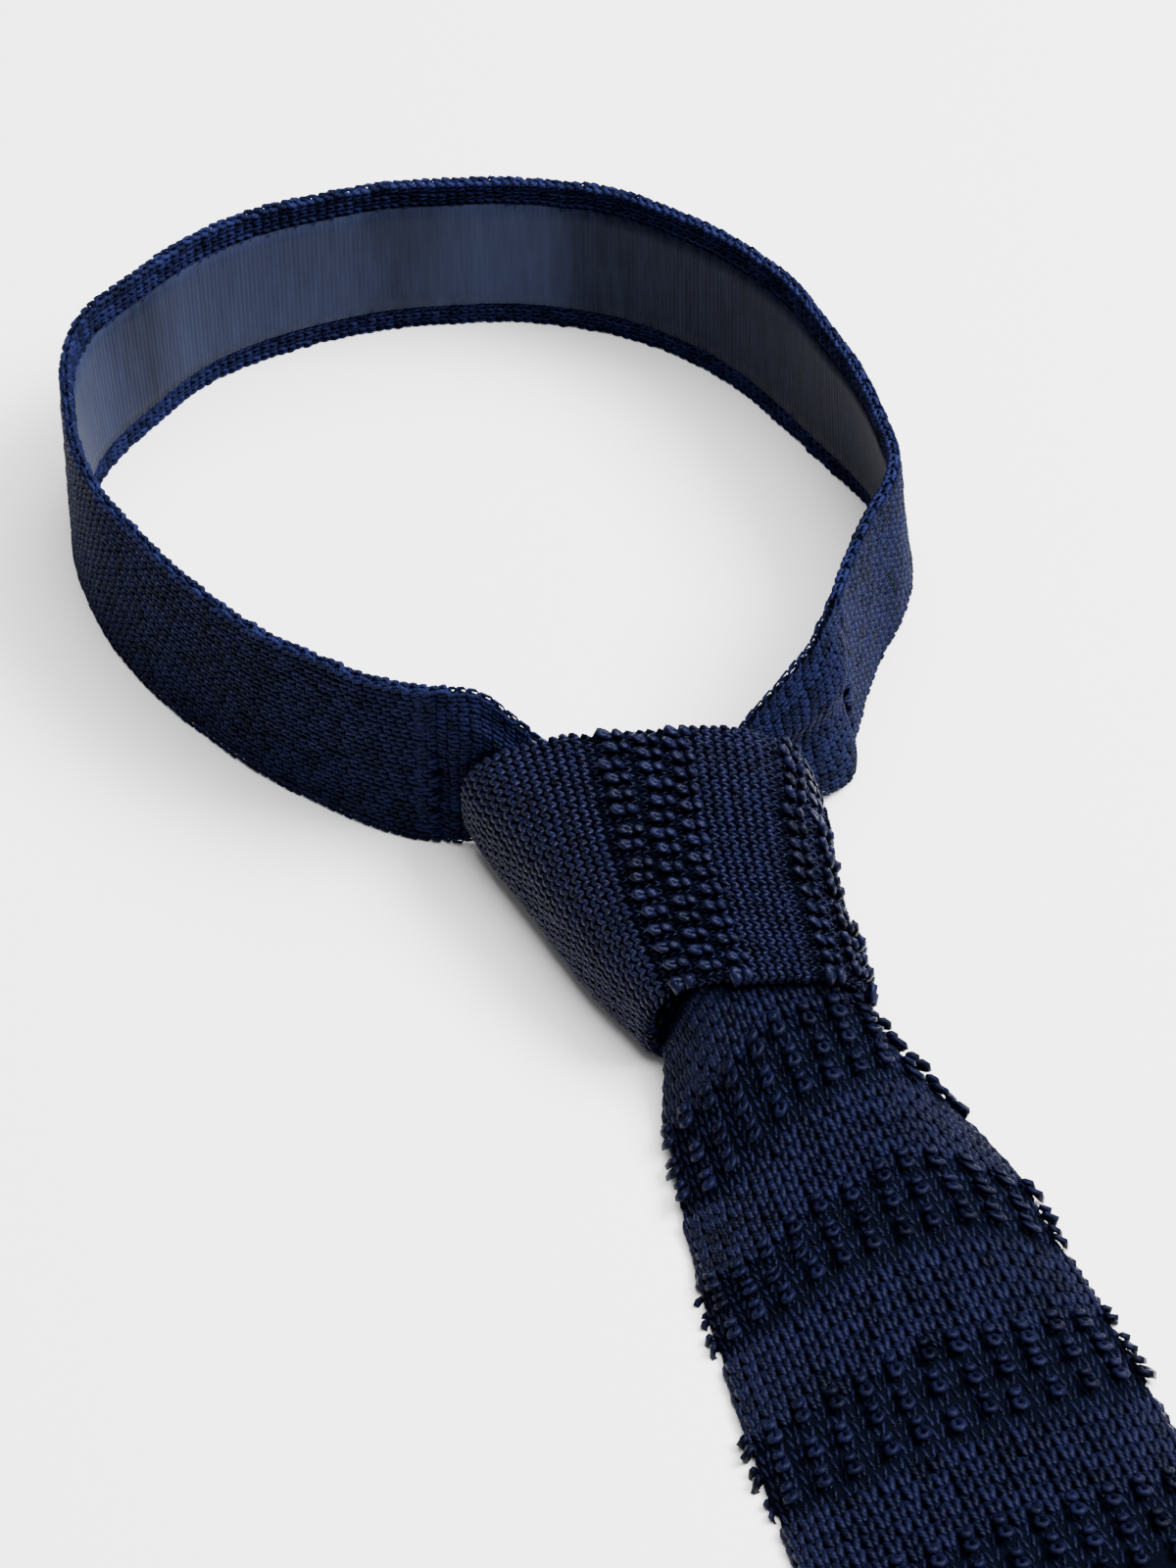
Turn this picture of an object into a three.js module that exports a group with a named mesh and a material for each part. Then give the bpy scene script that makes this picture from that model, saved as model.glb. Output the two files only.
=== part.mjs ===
// Knit necktie, tied in a four-in-hand knot and laid on a flat surface.
// The neckband stands on its lower edge as a loop, the knot lies in front of it,
// and the front blade runs away from the knot along -Y with the tail underneath.
// Millimetres, +Z up, the surface it rests on at z = 0.
import * as THREE from 'three';

// Neckband
const LOOP_WIDTH = 131.0;
const LOOP_DEPTH = 122.2;
const BAND_WIDTH = 33.8;
const BAND_THICKNESS = 1.6;
const RIBBON_WIDTH = 24.0;
const RIBBON_THICKNESS = 0.8;

// Knot
const KNOT_HALF_WIDTH = 25.0;
const KNOT_LENGTH = 44.7;
const KNOT_HEIGHT = 29.4;
const KNOT_NECK_SHARE = 0.7;
const KNOT_NECK_HEIGHT_SHARE = 0.74;
const KNOT_SKEW = -0.3;
const KNOT_ROUNDNESS = 2.6;
const KNOT_UNDERSIDE_FLATNESS = 4.0;
const WRAP_WALL = 2.2;
const PASS_HALF_WIDTH = 8.6;
const PASS_SHIFT = -1.6;

// Front blade and tail; inside is the length hidden in the knot
const BLADE_LENGTH = 440.0;
const BLADE_INSIDE = 13.0;
const BLADE_HALF_WIDTH = 32.0;
const BLADE_THICKNESS = 2.4;
const BLADE_DROOP_LENGTH = 50.0;
const TAIL_LENGTH = 360.0;
const TAIL_SETBACK = 3.0;
const TAIL_HALF_WIDTH = 16.5;
const TAIL_THICKNESS = 2.4;

// Raised ribs knitted across the blade, seen lengthwise on the knot
const RIB_PITCH = 28.0;
const RIB_LENGTH = 11.5;
const RIB_FIRST = 12.7;
const RIB_HEIGHT = 0.7;
const RIB_OVERHANG = 0.9;
const RIB_RAMP = 1.6;

const GAP = 0.4;

const KNIT_COLOUR = '#1a2140';
const RIBBON_COLOUR = '#373c52';

// Clear size of the knot's hollow at its upper rim, and of its mouth at the lower rim.
const HOLLOW_HALF_WIDTH = KNOT_HALF_WIDTH - WRAP_WALL;
const HOLLOW_HEIGHT = KNOT_HEIGHT - 2 * WRAP_WALL;
const MOUTH_HALF_WIDTH = KNOT_NECK_SHARE * KNOT_HALF_WIDTH - WRAP_WALL;
const MOUTH_TOP = KNOT_NECK_HEIGHT_SHARE * KNOT_HEIGHT - WRAP_WALL - GAP;
const TAIL_INSIDE = BLADE_INSIDE - TAIL_SETBACK;
const STACK_HEIGHT = TAIL_THICKNESS + GAP + BLADE_THICKNESS;

// Lower edge of the neckband seen from above, from the left of the knot round the back
// to its right. across is a share of LOOP_WIDTH from the middle of the knot, along a
// share of LOOP_DEPTH from its upper rim; lean (how far the upper edge stands inwards),
// low and high (heights of the two edges) are shares of BAND_WIDTH.
const LOOP_ROWS = namedRows(['across', 'along', 'lean', 'low', 'high'], [
  [-0.226, 0.094, 0.03, 0.01, 0.99],
  [-0.297, 0.147, 0.03, 0.00, 1.00],
  [-0.371, 0.240, 0.02, 0.00, 1.00],
  [-0.437, 0.352, 0.02, 0.00, 1.00],
  [-0.491, 0.473, 0.03, 0.00, 1.00],
  [-0.516, 0.597, 0.02, 0.00, 1.00],
  [-0.514, 0.723, 0.01, 0.00, 1.00],
  [-0.468, 0.833, -0.02, 0.00, 1.00],
  [-0.392, 0.909, 0.00, 0.00, 1.00],
  [-0.264, 0.982, 0.03, 0.00, 1.00],
  [-0.120, 1.001, 0.04, 0.00, 1.00],
  [0.029, 0.984, 0.05, 0.00, 1.00],
  [0.167, 0.936, 0.05, 0.00, 1.00],
  [0.293, 0.840, 0.05, 0.00, 1.00],
  [0.375, 0.716, 0.05, 0.00, 1.00],
  [0.425, 0.571, 0.07, 0.00, 1.00],
  [0.457, 0.450, 0.12, 0.00, 1.00],
  [0.462, 0.338, 0.13, 0.00, 1.00],
  [0.420, 0.250, 0.07, 0.00, 1.00],
  [0.360, 0.181, 0.08, 0.00, 1.00],
  [0.296, 0.084, 0.11, 0.00, 1.00],
  [0.244, 0.009, 0.11, 0.02, 0.98],
]);

// Where the band's gathered ends go into the knot. side is a share of HOLLOW_HALF_WIDTH
// from the middle, out the way out of the rim as a share of KNOT_LENGTH, low and high
// are shares of HOLLOW_HEIGHT above the lower wall.
const LEFT_END_ROWS = namedRows(['side', 'out', 'low', 'high'], [
  [-0.575, -0.245, 0.20, 0.80],
  [-0.690, 0.000, 0.17, 0.83],
  [-0.965, 0.070, 0.02, 1.10],
]);
const RIGHT_END_ROWS = namedRows(['side', 'out', 'low', 'high'], [
  [0.735, 0.056, 0.15, 0.97],
  [0.515, -0.080, 0.20, 0.80],
  [0.440, -0.300, 0.21, 0.75],
]);

// Cross sections of the wrap from its upper rim (0) to its lower rim (1).
// centre and width are shares of KNOT_HALF_WIDTH, height of KNOT_HEIGHT.
const WRAP_SECTIONS = namedRows(['centre', 'width', 'height'], [
  [0.000, 1.000, 1.000],
  [-0.024, 0.990, 1.000],
  [-0.040, 0.900, 0.930],
  [-0.012, 0.815, 0.835],
  [0.044, KNOT_NECK_SHARE, KNOT_NECK_HEIGHT_SHARE],
]);

// Cross sections of the front blade below the knot's lower rim. The distance is knots
// of KNOT_LENGTH and blades of BLADE_LENGTH. The half width is mouth of
// MOUTH_HALF_WIDTH and full of BLADE_HALF_WIDTH; shift is a share of KNOT_HALF_WIDTH.
// rise lifts the middle from STACK_HEIGHT to MOUTH_TOP, edge lifts the sides towards it,
// and flat is how flat the section is on top.
const BLADE_SECTIONS = namedRows(['knots', 'blades', 'shift', 'mouth', 'full', 'rise', 'edge', 'flat'], [
  [-0.295, 0.000, 0.006, 0.795, 0.000, 0.98, 0.330, 3.0],
  [-0.138, 0.000, 0.019, 0.835, 0.000, 0.99, 0.300, 3.0],
  [0.000, 0.000, 0.045, 0.900, 0.000, 0.96, 0.260, 3.0],
  [0.128, 0.000, 0.064, 0.700, 0.190, 0.83, 0.150, 2.6],
  [0.276, 0.000, 0.072, 0.400, 0.444, 0.63, 0.060, 2.4],
  [0.620, 0.000, 0.087, 0.000, 0.765, 0.345, 0.002, 2.5],
  [0.975, 0.000, 0.105, 0.000, 0.838, 0.185, 0.000, 3.0],
  [1.430, 0.000, 0.109, 0.000, 0.898, 0.065, 0.000, 3.6],
  [0.000, 0.186, 0.105, 0.000, 0.930, 0.030, 0.000, 4.5],
  [0.000, 0.280, 0.102, 0.000, 0.965, 0.000, 0.000, 5.0],
  [0.000, 0.500, 0.102, 0.000, 0.985, 0.000, 0.000, 5.0],
  [0.000, 1.000, 0.102, 0.000, 1.000, 0.000, 0.000, 5.0],
]);

// Cross sections of the tail, placed and sized in the same way; lift is the height of its
// underside as a share of the wrap's wall and the gap on it.
const TAIL_SECTIONS = namedRows(['knots', 'tails', 'mouth', 'full', 'lift'], [
  [-0.224, 0.000, 0.52, 0.00, 1.10],
  [-0.080, 0.000, 0.54, 0.00, 1.10],
  [0.040, 0.000, 0.60, 0.00, 1.08],
  [0.165, 0.000, 0.35, 0.40, 0.34],
  [0.290, 0.000, 0.00, 0.80, 0.00],
  [0.800, 0.000, 0.00, 0.92, 0.00],
  [0.000, 0.250, 0.00, 1.00, 0.00],
  [0.000, 1.000, 0.00, 1.00, 0.00],
]);

function namedRows(names, rows) {
  return rows.map((row) => Object.fromEntries(names.map((name, i) => [name, row[i]])));
}

// Smooth value of every column at place t, where row 0 is at 0 and the last row at its number.
function smoothRow(rows, t) {
  const last = rows.length - 1;
  const i = Math.min(Math.max(Math.floor(t), 0), last - 1);
  const f = t - i;
  const at = (k) => rows[Math.min(Math.max(k, 0), last)];
  const value = {};
  for (const name of Object.keys(rows[0])) {
    const [a, b, c, d] = [at(i - 1)[name], at(i)[name], at(i + 1)[name], at(i + 2)[name]];
    value[name] = b + 0.5 * f * (c - a + f * (2 * a - 5 * b + 4 * c - d + f * (3 * (b - c) + d - a)));
  }
  return value;
}

// The same, looked up by the distance mm that placeOf gives for each row.
function rowAtDistance(rows, placeOf, mm) {
  let k = 0;
  while (k < rows.length - 2 && placeOf(rows[k + 1]) < mm) {
    k += 1;
  }
  const share = (mm - placeOf(rows[k])) / (placeOf(rows[k + 1]) - placeOf(rows[k]));
  return smoothRow(rows, k + Math.min(Math.max(share, 0), 1));
}

// Closed body between an upper and a lower grid of points, joined along the edges.
// With closedRound the grid's second direction runs round and joins itself.
function bodyBetween(upper, lower, closedRound) {
  const rows = upper.length;
  const columns = upper[0].length;
  const points = [...upper.flat(), ...lower.flat()];
  const top = (i, j) => i * columns + (j % columns);
  const under = (i, j) => rows * columns + top(i, j);
  const index = [];
  const quad = (a, b, c, d) => index.push(a, b, c, a, c, d);
  const steps = closedRound ? columns : columns - 1;
  for (let i = 0; i < rows - 1; i += 1) {
    for (let j = 0; j < steps; j += 1) {
      quad(top(i, j), top(i + 1, j), top(i + 1, j + 1), top(i, j + 1));
      quad(under(i, j), under(i, j + 1), under(i + 1, j + 1), under(i + 1, j));
    }
    if (!closedRound) {
      quad(top(i, 0), under(i, 0), under(i + 1, 0), top(i + 1, 0));
      quad(top(i, steps), top(i + 1, steps), under(i + 1, steps), under(i, steps));
    }
  }
  for (let j = 0; j < steps; j += 1) {
    quad(top(0, j), top(0, j + 1), under(0, j + 1), under(0, j));
    quad(top(rows - 1, j), under(rows - 1, j), under(rows - 1, j + 1), top(rows - 1, j + 1));
  }
  const geometry = new THREE.BufferGeometry();
  geometry.setAttribute('position', new THREE.Float32BufferAttribute(points.flatMap((p) => p.toArray()), 3));
  geometry.setIndex(index);
  return faceOutwards(geometry);
}

// Turns the triangles round when the body's volume comes out negative.
function faceOutwards(geometry) {
  const p = geometry.getAttribute('position');
  const index = geometry.getIndex().array;
  const [a, b, c] = [new THREE.Vector3(), new THREE.Vector3(), new THREE.Vector3()];
  let volume = 0;
  for (let k = 0; k < index.length; k += 3) {
    a.fromBufferAttribute(p, index[k]);
    b.fromBufferAttribute(p, index[k + 1]);
    c.fromBufferAttribute(p, index[k + 2]);
    volume += a.dot(b.cross(c)) / 6;
  }
  if (volume < 0) {
    for (let k = 0; k < index.length; k += 3) {
      [index[k + 1], index[k + 2]] = [index[k + 2], index[k + 1]];
    }
  }
  geometry.computeVertexNormals();
  return geometry;
}

// Steps from 0 to 1 with one more close to each end, where an edge is rounded.
function edgedSteps(count, edge) {
  const inner = Array.from({ length: count + 1 }, (_, k) => edge + (1 - 2 * edge) * (k / count));
  return [0, ...inner, 1];
}

// Sheet of cloth around a middle surface: half its thickness on each side, half of that at the edges.
function sheet(alongSteps, acrossSteps, middle, facing, thickness) {
  const upper = [];
  const lower = [];
  for (const u of alongSteps) {
    const above = [];
    const below = [];
    for (const v of acrossSteps) {
      const rounded = v === 0 || v === 1 ? 0.5 : 1;
      const offset = facing(u, v).multiplyScalar(0.5 * rounded * thickness(u, v));
      above.push(middle(u, v).add(offset));
      below.push(middle(u, v).sub(offset));
    }
    upper.push(above);
    lower.push(below);
  }
  return bodyBetween(upper, lower, false);
}

// The neckband's whole path in millimetres: left end, loop, right end.
function neckbandPath() {
  const loopRow = ({ across, along, lean, low, high }) => ({
    x: across * LOOP_WIDTH,
    y: along * LOOP_DEPTH,
    lean: lean * BAND_WIDTH,
    low: low * BAND_WIDTH,
    high: high * BAND_WIDTH,
  });
  const endRow = ({ side, out, low, high }) => ({
    x: side * HOLLOW_HALF_WIDTH,
    y: out * KNOT_LENGTH + KNOT_SKEW * side * HOLLOW_HALF_WIDTH,
    lean: 0,
    low: WRAP_WALL + low * HOLLOW_HEIGHT,
    high: WRAP_WALL + high * HOLLOW_HEIGHT,
  });
  return [...LEFT_END_ROWS.map(endRow), ...LOOP_ROWS.map(loopRow), ...RIGHT_END_ROWS.map(endRow)];
}

const PATH = neckbandPath();

function pathPoint(u) {
  const row = smoothRow(PATH, u);
  return new THREE.Vector2(row.x, row.y);
}

// Horizontal direction out of the loop at place u of the neckband's path.
function bandOutwards(u) {
  const last = PATH.length - 1;
  const step = 0.02;
  const way = pathPoint(Math.min(u + step, last)).sub(pathPoint(Math.max(u - step, 0))).normalize();
  return new THREE.Vector3(-way.y, way.x, 0);
}

// Point of the neckband: v runs up its width, inset moves it into the loop.
function bandPoint(u, v, inset) {
  const row = smoothRow(PATH, u);
  const place = pathPoint(u);
  const height = Math.max(row.low + (row.high - row.low) * v, 0);
  return new THREE.Vector3(place.x, place.y, height).addScaledVector(bandOutwards(u), -row.lean * v - inset);
}

function neckband() {
  const last = PATH.length - 1;
  const along = Array.from({ length: 3 * last + 1 }, (_, k) => k / 3);
  return sheet(along, edgedSteps(4, 0.03), (u, v) => bandPoint(u, v, 0), bandOutwards, () => BAND_THICKNESS);
}

// Ribbon sewn to the inner face, with a knitted border left free above and below it.
function neckbandRibbon() {
  const border = 0.5 * (1 - RIBBON_WIDTH / BAND_WIDTH);
  const inset = 0.5 * (BAND_THICKNESS + RIBBON_THICKNESS) + GAP;
  const first = LEFT_END_ROWS.length + 0.2;
  const last = LEFT_END_ROWS.length + LOOP_ROWS.length - 1.6;
  const count = 66;
  const along = Array.from({ length: count + 1 }, (_, k) => first + (last - first) * (k / count));
  const middle = (u, v) => bandPoint(u, border + (1 - 2 * border) * v, inset);
  return sheet(along, edgedSteps(2, 0.04), middle, bandOutwards, () => RIBBON_THICKNESS);
}

function wrapRow(t) {
  return smoothRow(WRAP_SECTIONS, t * (WRAP_SECTIONS.length - 1));
}

// Point of the knot's outer skin moved inwards by depth: t runs down the knot, angle round it.
function knotPoint(t, angle, depth) {
  const row = wrapRow(t);
  const power = 2 / (Math.sin(angle) < 0 ? KNOT_UNDERSIDE_FLATNESS : KNOT_ROUNDNESS);
  const halfWidth = row.width * KNOT_HALF_WIDTH - depth;
  const halfHeight = 0.5 * row.height * KNOT_HEIGHT - depth;
  const side = Math.sign(Math.cos(angle)) * Math.abs(Math.cos(angle)) ** power;
  const rise = Math.sign(Math.sin(angle)) * Math.abs(Math.sin(angle)) ** power;
  const x = row.centre * KNOT_HALF_WIDTH + side * halfWidth;
  const y = -t * KNOT_LENGTH + KNOT_SKEW * x;
  const z = Math.max(0.5 * row.height * KNOT_HEIGHT + rise * halfHeight, Math.min(depth, WRAP_WALL));
  return new THREE.Vector3(x, y, z);
}

// Blade cloth carried once round the knot, with one of its ribs down the front.
function knotWrap() {
  const round = 36;
  const outer = [];
  const inner = [];
  for (const t of edgedSteps(8, 0.03)) {
    const edge = t === 0 || t === 1 ? 0.25 * WRAP_WALL : 0;
    const outside = [];
    const inside = [];
    for (let k = 0; k < round; k += 1) {
      const angle = (2 * Math.PI * k) / round;
      const fromMiddle = Math.abs(knotPoint(t, angle, 0).x - wrapRow(t).centre * KNOT_HALF_WIDTH);
      const onRib = Math.sin(angle) > 0 && fromMiddle < 0.5 * RIB_LENGTH + 0.5;
      outside.push(knotPoint(t, angle, edge - (onRib ? RIB_HEIGHT : 0)));
      inside.push(knotPoint(t, angle, WRAP_WALL - edge));
    }
    outer.push(outside);
    inner.push(inside);
  }
  return bodyBetween(outer, inner, true);
}

// The blade's pass over the top of the knot and down inside the wrap, as one padded roll.
function knotPass() {
  const round = 20;
  const roundness = 3;
  const length = KNOT_LENGTH - BLADE_INSIDE - 2 * GAP;
  // place is a share of the roll's length below the rim, swell a share of its full section
  const stations = namedRows(['place', 'swell'], [
    [-0.150, 0.30],
    [-0.130, 0.62],
    [-0.080, 0.88],
    [0.020, 1.00],
    [0.250, 1.00],
    [0.500, 1.00],
    [0.750, 1.00],
    [0.960, 0.97],
    [1.000, 0.80],
  ]);
  const rings = stations.map(({ place, swell }) => {
    const t = (place * length) / KNOT_LENGTH;
    const halfHeight = 0.5 * wrapRow(Math.max(t, 0)).height * KNOT_HEIGHT;
    const ring = [];
    for (let k = 0; k < round; k += 1) {
      const angle = (2 * Math.PI * k) / round;
      const side = Math.sign(Math.cos(angle)) * Math.abs(Math.cos(angle)) ** (2 / roundness);
      const rise = Math.sign(Math.sin(angle)) * Math.abs(Math.sin(angle)) ** (2 / roundness);
      const x = PASS_SHIFT + side * swell * PASS_HALF_WIDTH;
      const z = halfHeight + rise * swell * (halfHeight - WRAP_WALL - GAP);
      ring.push(new THREE.Vector3(x, -t * KNOT_LENGTH + KNOT_SKEW * x, z));
    }
    return ring;
  });
  return roll(rings);
}

// Closed body through rings of points, with a flat cap at each end.
function roll(rings) {
  const round = rings[0].length;
  const middleOf = (ring) => ring.reduce((sum, p) => sum.add(p), new THREE.Vector3()).divideScalar(round);
  const points = [...rings.flat(), middleOf(rings[0]), middleOf(rings[rings.length - 1])];
  const firstCap = rings.length * round;
  const index = [];
  for (let i = 0; i < rings.length - 1; i += 1) {
    for (let j = 0; j < round; j += 1) {
      const [a, b] = [i * round + j, i * round + ((j + 1) % round)];
      index.push(a, b, b + round, a, b + round, a + round);
    }
  }
  const lastRing = (rings.length - 1) * round;
  for (let j = 0; j < round; j += 1) {
    const next = (j + 1) % round;
    index.push(firstCap, next, j);
    index.push(firstCap + 1, lastRing + j, lastRing + next);
  }
  const geometry = new THREE.BufferGeometry();
  geometry.setAttribute('position', new THREE.Float32BufferAttribute(points.flatMap((p) => p.toArray()), 3));
  geometry.setIndex(index);
  return faceOutwards(geometry);
}

// How far place down the blade (mm below the rim) is inside a rib: 0 on plain cloth, 1 on a rib.
function ribShare(mm) {
  const nearest = Math.round((mm - RIB_FIRST) / RIB_PITCH);
  const fromMiddle = Math.abs(mm - RIB_FIRST - Math.max(nearest, 0) * RIB_PITCH);
  return Math.min(Math.max((0.5 * RIB_LENGTH - fromMiddle) / RIB_RAMP, 0), 1);
}

function bladeRow(mm) {
  return rowAtDistance(BLADE_SECTIONS, (row) => row.knots * KNOT_LENGTH + row.blades * BLADE_LENGTH, mm);
}

// Height of the blade's upper side in the middle: past the tail's end it sinks to the surface.
function bladeCrown(mm, rise) {
  const past = Math.min(Math.max((mm - TAIL_LENGTH - BLADE_THICKNESS) / BLADE_DROOP_LENGTH, 0), 1);
  const lying = STACK_HEIGHT - (STACK_HEIGHT - BLADE_THICKNESS) * past * past * (3 - 2 * past);
  return lying + (MOUTH_TOP - lying) * Math.max(rise, 0);
}

// Middle surface of the front blade: mm below the knot's lower rim, v across it.
function bladePoint(mm, v) {
  const row = bladeRow(mm);
  const side = 2 * v - 1;
  const rib = ribShare(mm);
  const halfWidth = row.mouth * MOUTH_HALF_WIDTH + row.full * BLADE_HALF_WIDTH + RIB_OVERHANG * rib;
  const x = row.shift * KNOT_HALF_WIDTH + side * halfWidth;
  const edge = 0.5 * BLADE_THICKNESS + Math.max(row.edge, 0) * MOUTH_TOP;
  const crown = bladeCrown(mm, row.rise) - 0.5 * BLADE_THICKNESS;
  const z = edge + (crown - edge) * (1 - Math.abs(side) ** row.flat) + 0.5 * RIB_HEIGHT * rib;
  const skewed = KNOT_SKEW * x * Math.max(0, 1 - Math.max(mm, 0) / KNOT_LENGTH);
  return new THREE.Vector3(x, -KNOT_LENGTH - mm + skewed, z);
}

// Direction straight out of a middle surface, found from two small steps on it.
function surfaceFacing(middle, stepAlong) {
  return (u, v) => {
    const step = 0.004;
    const [v0, v1] = [Math.max(v - step, 0), Math.min(v + step, 1)];
    const across = middle(u, v1).sub(middle(u, v0));
    const along = middle(u - stepAlong, v).sub(middle(u + stepAlong, v));
    return across.cross(along).normalize();
  };
}

// Lets the underside lie flat where it would sink below the surface.
function flattenBelow(geometry) {
  const p = geometry.getAttribute('position');
  for (let k = 0; k < p.count; k += 1) {
    p.setZ(k, Math.max(p.getZ(k), 0));
  }
  geometry.computeVertexNormals();
  return geometry;
}

function frontBlade() {
  const stations = new Set([-BLADE_INSIDE, -0.5 * BLADE_INSIDE, 0, 0.25 * RIB_FIRST, BLADE_LENGTH]);
  for (let middle = RIB_FIRST; middle < BLADE_LENGTH - RIB_LENGTH; middle += RIB_PITCH) {
    const outside = 0.5 * RIB_LENGTH;
    stations.add(middle - outside).add(middle - outside + RIB_RAMP);
    stations.add(middle + outside - RIB_RAMP).add(middle + outside);
  }
  for (const droop of [0, 0.5, 1]) {
    stations.add(TAIL_LENGTH + BLADE_THICKNESS + droop * BLADE_DROOP_LENGTH);
  }
  for (const wide of [0.62, 1.43, 2.6]) {
    stations.add(wide * KNOT_LENGTH);
  }
  const along = [...stations].filter((mm) => mm <= BLADE_LENGTH).sort((a, b) => a - b);
  const thickness = (mm) => BLADE_THICKNESS + RIB_HEIGHT * ribShare(mm);
  return flattenBelow(sheet(along, edgedSteps(10, 0.02), bladePoint, surfaceFacing(bladePoint, 0.5), thickness));
}

function tailPoint(mm, v) {
  const row = rowAtDistance(TAIL_SECTIONS, (r) => r.knots * KNOT_LENGTH + r.tails * TAIL_LENGTH, mm);
  const halfWidth = row.mouth * MOUTH_HALF_WIDTH + row.full * TAIL_HALF_WIDTH;
  const x = bladeRow(mm).shift * KNOT_HALF_WIDTH + (2 * v - 1) * halfWidth;
  const z = Math.max(row.lift, 0) * (WRAP_WALL + GAP) + 0.5 * TAIL_THICKNESS;
  return new THREE.Vector3(x, -KNOT_LENGTH - mm, z);
}

function tail() {
  const nearKnot = [-0.09, 0.022, 0.09, 0.165, 0.22, 0.29, 0.54, 0.8].map((share) => share * KNOT_LENGTH);
  const lying = [0.25, 0.5, 0.75, 1].map((share) => share * TAIL_LENGTH);
  const along = [-TAIL_INSIDE, ...nearKnot, ...lying];
  const up = () => new THREE.Vector3(0, 0, 1);
  return sheet(along, edgedSteps(2, 0.05), tailPoint, up, () => TAIL_THICKNESS);
}

const knit = new THREE.MeshStandardMaterial({ color: KNIT_COLOUR, roughness: 0.75, metalness: 0 });
const grosgrain = new THREE.MeshStandardMaterial({ color: RIBBON_COLOUR, roughness: 0.6, metalness: 0 });

const pieces = [
  ['neckband', neckband(), knit],
  ['neckband_ribbon', neckbandRibbon(), grosgrain],
  ['knot_wrap', knotWrap(), knit],
  ['knot_pass', knotPass(), knit],
  ['front_blade', frontBlade(), knit],
  ['tail', tail(), knit],
];

// The origin is the middle of the base rectangle, on the surface.
const reach = new THREE.Box3();
for (const [, geometry] of pieces) {
  geometry.computeBoundingBox();
  reach.union(geometry.boundingBox);
}
const middle = reach.getCenter(new THREE.Vector3());
const tie = new THREE.Group();
tie.name = 'knit_tie';
for (const [name, geometry, material] of pieces) {
  geometry.translate(-middle.x, -middle.y, -reach.min.z);
  const mesh = new THREE.Mesh(geometry, material);
  mesh.name = name;
  tie.add(mesh);
}

export default tie;
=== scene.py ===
"""Navy silk-knit necktie, tied in a four-in-hand knot and laid on a pale surface.

The CAD frame gives every size and place. This script lays the cloth, the ribbon and the
yarn of each piece over it, with their materials, and sets the stage.
"""
import math

import bmesh
import bpy
import numpy as np
from bpy.props import FloatProperty, FloatVectorProperty, PointerProperty
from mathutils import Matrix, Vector


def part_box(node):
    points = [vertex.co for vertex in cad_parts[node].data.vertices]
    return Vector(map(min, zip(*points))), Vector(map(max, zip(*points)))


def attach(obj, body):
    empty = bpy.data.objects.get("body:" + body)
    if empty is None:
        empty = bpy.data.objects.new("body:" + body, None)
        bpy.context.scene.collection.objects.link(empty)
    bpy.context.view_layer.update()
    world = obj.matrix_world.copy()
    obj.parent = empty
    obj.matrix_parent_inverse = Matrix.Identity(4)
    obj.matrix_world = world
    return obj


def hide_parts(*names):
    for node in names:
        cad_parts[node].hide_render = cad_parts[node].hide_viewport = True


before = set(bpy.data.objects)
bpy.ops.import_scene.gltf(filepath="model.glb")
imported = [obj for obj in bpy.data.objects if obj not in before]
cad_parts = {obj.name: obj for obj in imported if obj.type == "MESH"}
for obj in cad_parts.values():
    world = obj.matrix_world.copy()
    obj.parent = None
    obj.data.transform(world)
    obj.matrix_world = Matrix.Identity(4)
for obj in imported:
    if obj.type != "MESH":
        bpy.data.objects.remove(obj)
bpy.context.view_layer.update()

bl_info = {
    "name": "Knit necktie",
    "version": (1, 0, 0),
    "blender": (4, 5, 0),
    "location": "View3D > Sidebar > Knit tie",
    "description": "Builds a tied silk-knit necktie over its CAD frame",
    "category": "Add Mesh",
}

# Sizes of the frame in millimetres, measured from the middle of the knot's upper rim.
LOOP_WIDTH, LOOP_DEPTH = 131.0, 122.2
BAND_WIDTH, BAND_THICKNESS = 33.8, 1.6
RIBBON_WIDTH, RIBBON_THICKNESS = 24.0, 0.8
KNOT_HALF_WIDTH, KNOT_LENGTH, KNOT_HEIGHT = 25.0, 44.7, 29.4
KNOT_NECK_SHARE, KNOT_NECK_HEIGHT_SHARE = 0.7, 0.74
KNOT_SKEW = -0.3
KNOT_ROUNDNESS, KNOT_UNDERSIDE_FLATNESS = 2.6, 4.0
WRAP_WALL = 2.2
PASS_HALF_WIDTH, PASS_SHIFT = 8.6, -1.6
BLADE_LENGTH, BLADE_INSIDE = 440.0, 13.0
BLADE_HALF_WIDTH, BLADE_THICKNESS = 32.0, 2.4
BLADE_DROOP_LENGTH = 50.0
TAIL_LENGTH, TAIL_SETBACK = 360.0, 3.0
TAIL_HALF_WIDTH, TAIL_THICKNESS = 16.5, 2.4
RIB_OVERHANG = 0.9
GAP = 0.4

HOLLOW_HALF_WIDTH = KNOT_HALF_WIDTH - WRAP_WALL
HOLLOW_HEIGHT = KNOT_HEIGHT - 2 * WRAP_WALL
MOUTH_HALF_WIDTH = KNOT_NECK_SHARE * KNOT_HALF_WIDTH - WRAP_WALL
MOUTH_TOP = KNOT_NECK_HEIGHT_SHARE * KNOT_HEIGHT - WRAP_WALL - GAP
TAIL_INSIDE = BLADE_INSIDE - TAIL_SETBACK
STACK_HEIGHT = TAIL_THICKNESS + GAP + BLADE_THICKNESS

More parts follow.
